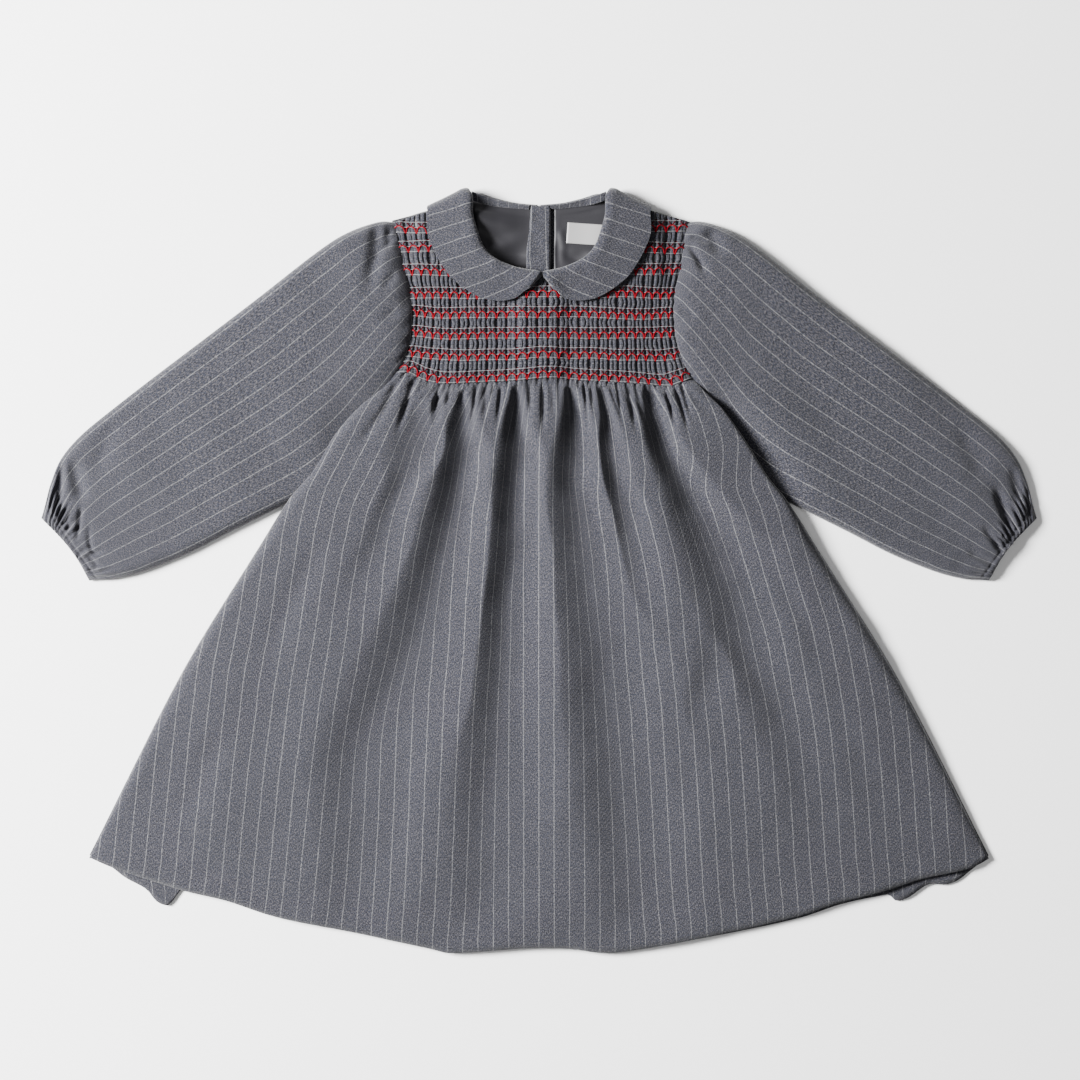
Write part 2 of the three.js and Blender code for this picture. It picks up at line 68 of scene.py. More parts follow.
class Side(Enum):
    """The side of the dress, as the viewer sees it."""

    LEFT = -1
    RIGHT = 1


# Plain maths


def smooth(start: float, end: float, x: np.ndarray) -> np.ndarray:
    """Rises softly from 0 at start to 1 at end."""
    t = np.clip((x - start) / (end - start), 0.0, 1.0)
    return t * t * (3.0 - 2.0 * t)


def mix(a: np.ndarray, b: np.ndarray, t: np.ndarray) -> np.ndarray:
    """Goes from a to b as t goes from 0 to 1."""
    return a + (b - a) * t


def rounded(distance: np.ndarray, radius: float) -> np.ndarray:
    """Rises like a quarter circle from 0 at an edge to 1 at a radius from it."""
    return np.sqrt(1.0 - (1.0 - np.clip(distance / radius, 0.0, 1.0)) ** 2)


def waviness(x: np.ndarray, y: np.ndarray, size: float, seed: int) -> np.ndarray:
    """Crossing soft waves of about one size.

    Args:
        x: Place along X.
        y: Place along Y.
        size: Typical length of a wave.
        seed: Picks the directions and phases.

    Returns:
        An irregular height, mostly between -1 and 1.
    """
    chance = np.random.default_rng(seed)
    total = np.zeros_like(x, dtype=float)
    waves = 8
    for _ in range(waves):
        angle = chance.uniform(0, math.pi)
        length = size * chance.uniform(0.7, 1.6)
        phase = chance.uniform(0, 2 * math.pi)
        total += np.sin(2 * math.pi * (x * math.cos(angle) + y * math.sin(angle)) / length + phase)
    return total / math.sqrt(waves)


class Profile:
    """A smooth curve through the rows of a short table."""

    def __init__(self, at: Sequence[float], value: Sequence[float]) -> None:
        """Sorts the rows and works out each row's slope from its neighbours."""
        order = np.argsort(at)
        self.at = np.asarray(at, float)[order]
        self.value = np.asarray(value, float)[order]
        rise = np.append(self.value[1:], self.value[-1]) - np.insert(self.value[:-1], 0, self.value[0])
        run = np.append(self.at[1:], self.at[-1]) - np.insert(self.at[:-1], 0, self.at[0])
        self.slope = rise / run

    def __call__(self, where: np.ndarray) -> np.ndarray:
        """Gives the curve's value at each place, held level past both ends."""
        where = np.asarray(where, float)
        i = np.clip(np.searchsorted(self.at, where, side="right") - 1, 0, len(self.at) - 2)
        span = self.at[i + 1] - self.at[i]
        t = np.clip((where - self.at[i]) / span, 0.0, 1.0)
        start, end = self.value[i], self.value[i + 1]
        lean_in, lean_out = self.slope[i] * span, self.slope[i + 1] * span
        rising = 3 * t**2 - 2 * t**3
        return (
            start * (1 - rising)
            + end * rising
            + (t**3 - 2 * t**2 + t) * lean_in
            + (t**3 - t**2) * lean_out
        )


# A crease is followed in this many steps, and it presses the cloth within this many half widths
CREASE_STEPS = 16
CREASE_REACH = 2.6


class Crease(NamedTuple):
    """A valley pressed into cloth along a bent line; a negative depth raises a ridge instead."""

    start: Spot
    middle: Spot
    end: Spot
    depth: float
    half_width: float


def creased(*rows: tuple[float, ...]) -> tuple[Crease, ...]:
    """Reads rows of eight numbers: the start, the middle, the end, the depth and the half width."""
    return tuple(Crease(row[0:2], row[2:4], row[4:6], *row[6:]) for row in rows)


def pressed(x: np.ndarray, y: np.ndarray, creases: Sequence[Crease]) -> np.ndarray:
    """Adds up how deep the creases press the cloth.

    Args:
        x: Place of each point along X.
        y: Place of each point along Y.
        creases: The valleys.

    Returns:
        The depth at each point.
    """
    drop = np.zeros_like(x, dtype=float)
    t = np.linspace(0.0, 1.0, CREASE_STEPS + 1)[:, None]
    for crease in creases:
        start, middle, end = (np.array(spot) for spot in crease[:3])
        pull = 2 * middle - (start + end) / 2
        path = (1 - t) ** 2 * start + 2 * t * (1 - t) * pull + t**2 * end
        reach = CREASE_REACH * crease.half_width
        near = (x > path[:, 0].min() - reach) & (x < path[:, 0].max() + reach)
        near &= (y > path[:, 1].min() - reach) & (y < path[:, 1].max() + reach)
        spots = np.stack([x[near], y[near]], axis=-1)[:, None, :]
        step = path[1:] - path[:-1]
        along = ((spots - path[:-1]) * step).sum(-1) / (step * step).sum(-1)
        along = np.clip(along, 0.0, 1.0)
        away = np.linalg.norm(spots - path[:-1] - along[..., None] * step, axis=-1)
        nearest = away.argmin(axis=1)[:, None]
        distance = np.take_along_axis(away, nearest, 1)[:, 0]
        place = (nearest[:, 0] + np.take_along_axis(along, nearest, 1)[:, 0]) / len(step)
        taper = smooth(0.0, 0.3, place) * (1 - smooth(0.65, 1.0, place))
        drop[near] += crease.depth * taper * np.exp(-((distance / crease.half_width) ** 2))
    return drop


# Outlines of the dress, shared by its pieces

SIDE_HALF = Profile(
    (251, 217, 203, 190, 171, 159.5, 140, 129, 118, 95, 69, 51, 17, -75, -205),
    (107, 101, 97.5, 96, 97, 99.5, 107, 117, 129, 147.5, 164, 178.5, 200.5, 257.5, 323.5),
)
SIDE_SHIFT = Profile((251, 217, 190, 140, 120, 90, -205), (1.5, 2.3, 2.7, 2.9, 2.0, 0.0, 0.0))
HEM_HALF = 323.5
HEM_Y = -205.0
FRONT_HEM = Profile(
    (-322, -305, -256, -226, -189, -129, -78, -64, -9, 22, 47, 75, 132, 188, 215, 250, 274, 310, 324),
    (-206, -213, -229, -236, -248, -260, -271, -274, -270.5, -271, -274, -271, -260, -247, -238, -229,
     -221, -213, -206),
)
YOKE_END = Profile(
    (-107, -92, -78.5, -65, -42, -14, 0, 11, 24, 44, 60, 79, 86, 98, 109),
    (140, 143.6, 138.6, 135.7, 136.4, 137.9, 139.3, 139.3, 137.9, 136.8, 135.7, 133.9, 135.7, 139.3, 141.8),
)
NECKLINE = Profile((0, 20, 30, 38, 44, 48, 51), (213, 216, 221, 228, 238, 250, 266))
BACK_NECK = Profile((0, 25, 42, 51), (259, 261, 264.5, 266))
COLLAR_TOP = Profile((1.1, 16.6, 30.2, 42, 50.8), (262.6, 264, 267, 270.4, 273.5))
SLEEVE_LOW = Profile((118.5, 108, 94, 77, 60, 44.5, 28), (129.6, 129.5, 132, 142, 161, 190, 223))

# Half widths and heights that several pieces share
NECK_HALF = 51.0
NECK_Y = 266.0
SHOULDER_HALF = 107.0
SHOULDER_Y = 251.0
YOKE_HALF = 98.0
SEAM_Y = 138.5
SEAM_MEAN_Y = 137.5
SKIRT_TOP_Y = 140.0

# How far the collar or the buttons, and a sleeve's corner, hold the back off the surface
COLLAR_LIFT = 2.8
SLEEVE_LIFT = 3.5


def shoulder(half: np.ndarray) -> np.ndarray:
    """Gives the height of the straight shoulder seam at a distance from the centre."""
    return mix(NECK_Y, SHOULDER_Y, (half - NECK_HALF) / (SHOULDER_HALF - NECK_HALF))


def back_lift(x: np.ndarray, y: np.ndarray) -> np.ndarray:
    """Gives how far the collar, the buttons and the sleeves' corners hold the back off the surface."""
    half = np.abs(x)
    over_collar = (1 - smooth(84, 94, half)) * smooth(196, 214, y)
    over_buttons = (1 - smooth(9, 24, half)) * smooth(124, 138, y)
    low = np.where(y > 118.5, SIDE_HALF(y), SLEEVE_LOW(np.clip(y, 44.5, 118.5)))
    over_sleeve = smooth(0, 22, half - low + 26) * smooth(20, 44, y) * (1 - smooth(136, 156, y))
    return np.maximum(COLLAR_LIFT * np.maximum(over_collar, over_buttons), SLEEVE_LIFT * over_sleeve)


# Making cloth


class Cloth:
    """One piece of cloth: a primitive grid, shaped in code and thickened into a closed shell."""

    def __init__(self, name: str, columns: int, rows: int) -> None:
        """Adds the grid.

        Args:
            name: The piece's name.
            columns: Faces across.
            rows: Faces from the top edge down.
        """
        bpy.ops.object.select_all(action="DESELECT")
        bpy.ops.mesh.primitive_grid_add(x_subdivisions=columns, y_subdivisions=rows, size=2)
        self.piece = bpy.context.object
        self.piece.name = name
        flat = np.zeros(len(self.piece.data.vertices) * 3)
        self.piece.data.vertices.foreach_get("co", flat)
        flat = flat.reshape(-1, 3)
        self.column = np.rint((flat[:, 0] + 1) / 2 * columns).astype(int)
        self.row = np.rint((1 - flat[:, 1]) / 2 * rows).astype(int)
        self.across, self.down = np.meshgrid(np.linspace(0, 1, columns + 1), np.linspace(0, 1, rows + 1))

    def shape(self, x: np.ndarray, y: np.ndarray, z: np.ndarray, u: np.ndarray, v: np.ndarray) -> None:
        """Moves the grid's points and lays the cloth's own measure over it.

        Args:
            x: Place of each point, by row and column.
            y: Place of each point.
            z: Height of each point.
            u: Distance across the grain, from the stripe in the middle.
            v: Distance along the grain.
        """
        points = np.stack([x, y, z], axis=-1)[self.row, self.column] * MM
        mesh = self.piece.data
        mesh.vertices.foreach_set("co", points.ravel())
        layer = mesh.uv_layers[0] if mesh.uv_layers else mesh.uv_layers.new()
        layer.name = UV_NAME
        corner = np.zeros(len(mesh.loops), dtype=np.int32)
        mesh.loops.foreach_get("vertex_index", corner)
        measure = np.stack([u, v], axis=-1)[self.row, self.column] * MM
        layer.data.foreach_set("uv", measure[corner].ravel())
        mesh.update()

    def outward(self, side: Side) -> np.ndarray:
        """Gives the share across, counted from the dress's centre to its side."""
        return self.across if side is Side.RIGHT else 1 - self.across

    def close_round(self) -> None:
        """Joins the first and the last column, which makes a tube of the grid."""
        bpy.ops.object.mode_set(mode="EDIT")
        bpy.ops.mesh.select_all(action="SELECT")
        bpy.ops.mesh.remove_doubles(threshold=1e-6)
        bpy.ops.object.mode_set(mode="OBJECT")

    def thicken(self, thickness: float) -> None:
        """Gives the cloth its thickness, towards its wrong side."""
        solid = self.piece.modifiers.new("thickness", "SOLIDIFY")
        solid.thickness = thickness * MM
        solid.offset = -1
        bpy.ops.object.modifier_apply(modifier=solid.name)
        bpy.ops.object.shade_smooth()


def dressed(piece: bpy.types.Object, material: bpy.types.Material, slot: str, *nodes: str) -> None:
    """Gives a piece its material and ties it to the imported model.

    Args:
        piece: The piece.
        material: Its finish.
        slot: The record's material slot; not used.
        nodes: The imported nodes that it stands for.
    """
    piece.data.materials.clear()
    piece.data.materials.append(material)
    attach(piece, "root")
    if nodes:
        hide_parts(*nodes)
    log.info("%s: %d faces", piece.name, len(piece.data.polygons))


def thread(name: str, paths: Sequence[np.ndarray], radius: float) -> bpy.types.Object:
    """Makes sewn threads as one mesh of tubes.

    Args:
        name: The piece's name.
        paths: The points of each thread, in millimetres.
        radius: The thread's radius.

    Returns:
        The new mesh object.
    """
    bpy.ops.object.select_all(action="DESELECT")
    bpy.ops.curve.primitive_bezier_curve_add(location=(0, 0, 0))
    piece = bpy.context.object
    piece.name = name
    curve = piece.data
    curve.splines.clear()
    for path in paths:
        line = curve.splines.new("POLY")
        line.points.add(len(path) - 1)
        points = np.concatenate([path * MM, np.ones((len(path), 1))], axis=1)
        line.points.foreach_set("co", points.ravel())
    curve.bevel_depth = radius * MM
    curve.bevel_resolution = 1
    curve.use_fill_caps = True
    bpy.ops.object.convert(target="MESH")
    bpy.ops.object.shade_smooth()
    return piece


# Finishes


@dataclass(frozen=True)
class WoolFinish:
    """The pinstriped wool flannel."""

    blue_grey: Colour = (0.0142, 0.0160, 0.0262)
    light: Colour = (0.063, 0.0595, 0.064)
    dark: Colour = (0.0030, 0.0032, 0.0054)
    stripe: Colour = (0.115, 0.115, 0.119)
    stripe_pitch: float = 0.011
    stripe_width: float = 0.00054
    roughness: float = 0.92
    bump: float = 0.55
    shine: float = 0.2
    sheen: float = 0.25
    sheen_roughness: float = 0.5


@dataclass(frozen=True)
class SmoothFinish:
    """A plain cloth or thread."""

    colour: Colour
    roughness: float
    sheen: float = 0.0
    bump: float = 0.0
    shine: float = 0.35


@dataclass(frozen=True)
class ButtonFinish:
    """Polished horn."""

    colour: Colour = (0.07, 0.075, 0.09)
    roughness: float = 0.3


LINING_FINISH = SmoothFinish(colour=(0.0066, 0.0061, 0.0086), roughness=0.55, sheen=0.1, bump=0.12)
LABEL_FINISH = SmoothFinish(colour=(0.26, 0.255, 0.255), roughness=0.5, bump=0.1)
WHITE_FINISH = SmoothFinish(colour=(0.11, 0.11, 0.116), roughness=0.7)
RED_FINISH = SmoothFinish(colour=(0.125, 0.0002, 0.004), roughness=0.8, shine=0.08)
# The red thread again, darkened as painted shade for the ties that lie deep in the gaps between the pleats.
SHADED_RED_FINISH = SmoothFinish(colour=(0.032, 0.0003, 0.0025), roughness=0.85, shine=0.05)


# Height of the weaves' relief, in metres
RELIEF_DEPTH = 0.0004


def fill(node: bpy.types.Node, values: dict[str, object]) -> None:
    """Fills a node's sockets with plain values."""
    for socket, value in values.items():
        node.inputs[socket].default_value = value


@dataclass
class Recipe:
    """A node tree, built by short calls."""

    tree: bpy.types.NodeTree

    def add(self, kind: str, **settings: object) -> bpy.types.Node:
        """Adds a node and sets it: names with a socket's name fill the socket, others the node."""
        node = self.tree.nodes.new(kind)
        for name, value in settings.items():
            socket = node.inputs.get(name.replace("_", " ").title())
            if socket is not None and not hasattr(node, name):
                socket.default_value = value
            else:
                setattr(node, name, value)
        return node

    def maths(self, kind: str, first: object, second: object = None, third: object = None) -> object:
        """Adds a Math node whose inputs are sockets or numbers, and gives its output."""
        node = self.tree.nodes.new("ShaderNodeMath")
        node.operation = kind
        for slot, value in enumerate((first, second, third)):
            if isinstance(value, bpy.types.NodeSocket):
                self.tree.links.new(value, node.inputs[slot])
            elif value is not None:
                node.inputs[slot].default_value = value
        return node.outputs[0]

    def link(self, start: bpy.types.NodeSocket, end: bpy.types.NodeSocket) -> None:
        """Links two sockets."""
        self.tree.links.new(start, end)

    def noise(self, place: bpy.types.NodeSocket, **settings: object) -> bpy.types.Node:
        """Adds a noise texture that reads a place."""
        node = self.add("ShaderNodeTexNoise", **settings)
        self.link(place, node.inputs["Vector"])
        return node

    def relief(self, height: bpy.types.NodeSocket, strength: float, shader: bpy.types.Node) -> None:
        """Turns a height into the fine relief of a shader."""
        node = self.add("ShaderNodeBump", strength=strength, distance=RELIEF_DEPTH)
        self.link(height, node.inputs["Height"])
        self.link(node.outputs["Normal"], shader.inputs["Normal"])


def new_group(name: str, inputs: dict[str, str], outputs: dict[str, str]) -> tuple:
    """Starts a shared node group.

    Args:
        name: The group's name.
        inputs: Each input's name and kind of socket.
        outputs: Each output's name and kind of socket.

    Returns:
        The group, its recipe, its input node and its output node.
    """
    group = bpy.data.node_groups.new(name, "ShaderNodeTree")
    for label, kind in inputs.items():
        group.interface.new_socket(name=label, in_out="INPUT", socket_type=kind)
    for label, kind in outputs.items():
        group.interface.new_socket(name=label, in_out="OUTPUT", socket_type=kind)
    recipe = Recipe(group)
    return group, recipe, recipe.add("NodeGroupInput"), recipe.add("NodeGroupOutput")


def stripes_group() -> bpy.types.NodeTree:
    """Makes the group that says where a pinstripe is, slightly broken as woven ones are."""
    group, make, start, end = new_group(
        "pinstripes",
        {"Place": "NodeSocketVector", "Pitch": "NodeSocketFloat", "Width": "NodeSocketFloat"},
        {"Mask": "NodeSocketFloat"},
    )
    apart = make.add("ShaderNodeSeparateXYZ")
    make.link(start.outputs["Place"], apart.inputs[0])
    wander = make.noise(start.outputs["Place"], noise_dimensions="2D", scale=60.0, detail=1.0)
    shift = make.maths("MULTIPLY_ADD", wander.outputs["Fac"], 0.0008, -0.0004)
    across = make.maths("ADD", apart.outputs["X"], shift)
    turns = make.maths("DIVIDE", across, start.outputs["Pitch"])
    nearest = make.maths("SUBTRACT", turns, make.maths("ROUND", turns))
    distance = make.maths("MULTIPLY", make.maths("ABSOLUTE", nearest), start.outputs["Pitch"])
    part = make.maths("DIVIDE", distance, start.outputs["Width"])
    line = make.add("ShaderNodeMapRange", interpolation_type="SMOOTHSTEP")
    fill(line, {"From Min": 0.75, "From Max": 0.3})
    make.link(part, line.inputs["Value"])
    breaks = make.noise(start.outputs["Place"], noise_dimensions="2D", scale=900.0, detail=2.0)
    thread = make.maths("MULTIPLY_ADD", breaks.outputs["Fac"], 3.0, -0.85)
    broken = make.maths("MINIMUM", make.maths("MAXIMUM", thread, 0.15), 1.0)
    make.link(make.maths("MULTIPLY", line.outputs["Result"], broken), end.inputs["Mask"])
    return group


def heather_group() -> bpy.types.NodeTree:
    """Makes the group that mixes three dyed fibres into one mottled yarn colour."""
    colour = "NodeSocketColor"
    group, make, start, end = new_group(
        "heather",
        {"Place": "NodeSocketVector", "Main": colour, "Light": colour, "Dark": colour},
        {"Colour": colour},
    )
    stretch = make.add("ShaderNodeMapping")
    fill(stretch, {"Scale": (1.0, 0.6, 1.0)})
    make.link(start.outputs["Place"], stretch.inputs["Vector"])
    mixed = start.outputs["Main"]
    layers = (
        ("Light", 1400.0, 0.47, 0.6, 1.0),
        ("Dark", 1550.0, 0.47, 0.6, 1.0),
        ("Light", 300.0, 0.48, 0.80, 0.15),
    )
    for name, scale, low, high, most in layers:
        specks = make.noise(stretch.outputs[0], noise_dimensions="2D", scale=scale, detail=3.0)
        fill(specks, {"Roughness": 0.7})
        amount = make.add("ShaderNodeMapRange")
        fill(amount, {"From Min": low, "From Max": high, "To Max": most})
        make.link(specks.outputs["Fac"], amount.inputs["Value"])
        blend = make.add("ShaderNodeMix", data_type="RGBA")
        make.link(amount.outputs["Result"], blend.inputs["Factor"])
        make.link(mixed, blend.inputs[6])
        make.link(start.outputs[name], blend.inputs[7])
        mixed = blend.outputs[2]
    make.link(mixed, end.inputs["Colour"])
    return group


def twill_group() -> bpy.types.NodeTree:
    """Makes the group that gives the height of a brushed twill weave."""
    group, make, start, end = new_group(
        "twill", {"Place": "NodeSocketVector"}, {"Height": "NodeSocketFloat"}
    )
    ribs = make.add("ShaderNodeTexWave", bands_direction="DIAGONAL", scale=180.0, distortion=3.0, detail=2.0)
    make.link(start.outputs["Place"], ribs.inputs["Vector"])
    nap = make.noise(start.outputs["Place"], noise_dimensions="2D", scale=1400.0, detail=3.0)
    height = make.maths("MULTIPLY_ADD", ribs.outputs["Fac"], 0.35, nap.outputs["Fac"])
    make.link(height, end.inputs["Height"])
    return group


def grouped(make: Recipe, group: bpy.types.NodeTree, place: bpy.types.NodeSocket) -> bpy.types.Node:
    """Adds a shared group to a material and tells it the place on the cloth."""
    node = make.add("ShaderNodeGroup")
    node.node_tree = group
    make.link(place, node.inputs["Place"])
    return node


def new_material(name: str) -> tuple[bpy.types.Material, Recipe, bpy.types.Node]:
    """Starts a material, and gives it with its recipe and its shader."""
    material = bpy.data.materials.new(name)
    material.use_nodes = True
    return material, Recipe(material.node_tree), material.node_tree.nodes["Principled BSDF"]


def wool_material(finish: WoolFinish) -> bpy.types.Material:
    """Makes the pinstriped flannel, which reads the cloth's own measure."""
    material, make, shader = new_material("pinstriped wool")
    place = make.add("ShaderNodeUVMap", uv_map=UV_NAME).outputs["UV"]
    heather = grouped(make, heather_group(), place)
    dyes = {"Main": finish.blue_grey, "Light": finish.light, "Dark": finish.dark}
    fill(heather, {name: (*colour, 1.0) for name, colour in dyes.items()})
    stripes = grouped(make, stripes_group(), place)
    fill(stripes, {"Pitch": finish.stripe_pitch, "Width": finish.stripe_width})
    woven = make.add("ShaderNodeMix", data_type="RGBA")
    woven.inputs[7].default_value = (*finish.stripe, 1.0)
    make.link(stripes.outputs["Mask"], woven.inputs["Factor"])
    make.link(heather.outputs["Colour"], woven.inputs[6])
    make.link(woven.outputs[2], shader.inputs["Base Color"])
    twill = grouped(make, twill_group(), place)
    make.relief(twill.outputs["Height"], finish.bump, shader)
    fill(shader, {"Roughness": finish.roughness, "Specular IOR Level": finish.shine})
    fill(shader, {"Sheen Weight": finish.sheen, "Sheen Roughness": finish.sheen_roughness})
    return material


def smooth_material(name: str, finish: SmoothFinish) -> bpy.types.Material:
    """Makes a plain woven or spun material."""
    material, make, shader = new_material(name)
    fill(shader, {"Base Color": (*finish.colour, 1.0), "Roughness": finish.roughness})
    fill(shader, {"Sheen Weight": finish.sheen, "Specular IOR Level": finish.shine})
    if finish.bump:
        weave = make.noise(make.add("ShaderNodeTexCoord").outputs["Object"], scale=2500.0, detail=2.0)
        make.relief(weave.outputs["Fac"], finish.bump, shader)
    return material


def button_material(finish: ButtonFinish) -> bpy.types.Material:
    """Makes mottled horn."""
    material, make, shader = new_material("horn")
    cloud = make.noise(make.add("ShaderNodeTexCoord").outputs["Object"], scale=300.0, detail=3.0)
    tone = make.add("ShaderNodeMix", data_type="RGBA")
    tone.inputs[6].default_value = (*finish.colour, 1.0)
    tone.inputs[7].default_value = (*(2.2 * part for part in finish.colour), 1.0)
    make.link(cloud.outputs["Fac"], tone.inputs["Factor"])
    make.link(tone.outputs[2], shader.inputs["Base Color"])
    fill(shader, {"Roughness": finish.roughness})
    return material


@dataclass
class Wardrobe:
    """The materials, made once and shared by the pieces."""

    wool: bpy.types.Material
    lining: bpy.types.Material
    label: bpy.types.Material
    white: bpy.types.Material
    red: bpy.types.Material
    deep_red: bpy.types.Material
    button: bpy.types.Material

    @classmethod
    def made(cls) -> "Wardrobe":
        """Makes all the materials."""
        return cls(
            wool=wool_material(WoolFinish()),
            lining=smooth_material("satin lining", LINING_FINISH),
            label=smooth_material("woven label", LABEL_FINISH),
            white=smooth_material("white thread", WHITE_FINISH),
            red=smooth_material("red thread", RED_FINISH),
            deep_red=smooth_material("red thread in painted shade", SHADED_RED_FINISH),
            button=button_material(ButtonFinish()),
        )


# The smocked front


class Band(NamedTuple):
    """One row of embroidery: its top line's height at the centre, and a slow rise towards both sides."""

    y: float
    side_rise: float
    tilt: float


BANDS = (
    Band(250.8, 0.8, 0.4),
    Band(236.2, 0.4, -0.5),
    Band(220.4, 0.0, 0.4),
    Band(204.2, -0.3, 0.3),
    Band(189.6, 0.0, -0.4),
    Band(175.2, 0.3, 0.3),
    Band(160.0, 0.6, 0.4),
)
BAND_WIDTH = 7.6
PLEATS = 58
STRAIGHT_HALF = 97.0

# Distances below a band's top line: middle line, arch, the loop between arches and the ties above
MIDDLE_LINE = 3.8
ARCH_TOP = 3.3
ARCH_FOOT = 6.0
LOOP_END = 7.9
TIE_END = 3.4
TIE_RISE = 4.3

# Share of the way from an arch's crown to the next gap at which its side stands upright
ARCH_HALF = 0.82


def reed(s: np.ndarray) -> np.ndarray:
    """Counts the pleats up to a share s of the half width; they are a little wider in the middle."""
    return PLEATS * ((s + 1) / 2 - 0.018 * np.sin(math.pi * s))


def pleat_share(s: np.ndarray, y: np.ndarray) -> np.ndarray:
    """Finds the share at which a point's pleat starts: pleats run straight, and only the outer ones bow."""
    half = SIDE_HALF(y)
    bow = half - STRAIGHT_HALF
    share = s
    for _ in range(6):
        outer = np.abs(share) ** 4
        share = share - (share * (STRAIGHT_HALF + bow * outer) - s * half) / (STRAIGHT_HALF + 5 * bow * outer)
    return share


def body_share(share: np.ndarray, y: np.ndarray) -> np.ndarray:
    """Turns a pleat's share into the share of the body's half width at a height."""
    half = SIDE_HALF(y)
    return share * (STRAIGHT_HALF + (half - STRAIGHT_HALF) * share**4) / half


def body_x(s: np.ndarray, y: np.ndarray) -> np.ndarray:
    """Gives the place across of a share s of the body's half width at a height."""
    return SIDE_SHIFT(y) + s * SIDE_HALF(y)


def band_top(index: int, s: np.ndarray) -> np.ndarray:
    """Gives the height of a band's top line at a share s of the body's half width."""
    x = s * YOKE_HALF
    if index == len(BANDS):
        return YOKE_END(x) + BAND_WIDTH
    band = BANDS[index]
    wave = 0.5 * waviness(x, np.zeros_like(x), 45.0, 40 + index)
    follow = 0.5 * (YOKE_END(x) - SEAM_MEAN_Y) * (index / len(BANDS)) ** 2
    return band.y + band.side_rise * s**2 + band.tilt * s + wave + follow


def arch_drop(phase: np.ndarray) -> np.ndarray:
    """Gives how far the red thread lies below its band's top line: wide arches with narrow loops between."""
    from_crown = np.abs(phase % 2 - 1)
    across = np.clip(from_crown / ARCH_HALF, 0, 1)
    arch = ARCH_TOP + (ARCH_FOOT - ARCH_TOP) * (1 - np.sqrt(1 - across**2))
    loop_across = np.clip((1 - from_crown) / (1 - ARCH_HALF), 0, 1)
    loop = ARCH_FOOT + (LOOP_END - ARCH_FOOT) * np.sqrt(1 - loop_across**2)
    return np.where(from_crown < ARCH_HALF, arch, loop)


def tie_drop(phase: np.ndarray) -> np.ndarray:
    """Gives how far the red tie thread lies below its band's top line, from the gaps down to the arches."""
    return TIE_END - TIE_RISE * np.abs(np.cos(math.pi * phase / 2)) ** 1.2


class Stitch(NamedTuple):
    """How a thread lies on the pleats."""

    sink: float
    lift: float
    steps: int


WHITE_STITCH = Stitch(sink=0.5, lift=0.35, steps=5)
ARCH_STITCH = Stitch(sink=0.3, lift=0.35, steps=14)
TIE_STITCH = Stitch(sink=1.0, lift=-0.2, steps=6)


@dataclass(frozen=True)
class SmockingSizes:
    """Driving sizes of the smocked cloth."""

    columns: int = 464
    rows: int = 92
    height: float = 1.8
    height_at_band: float = 1.4
    fall_to_skirt: float = 0.6
    gap: float = 0.17
    crown_rounding: float = 0.3
    groove_width: float = 0.12
    groove_at_band: float = 0.4
    groove_between: float = 0.7
    seat_side: float = 4.0
    seat_middle: float = 5.7
    bulge: float = 0.9
    seam_dip: float = 1.6
    tuck: float = 0.9
    sway: float = 1.0
    thickness: float = 0.9
    end_share: float = 0.992
    neck_margin: float = 0.6
    white_radius: float = 0.3
    red_radius: float = 0.52
    tie_radius: float = 0.48


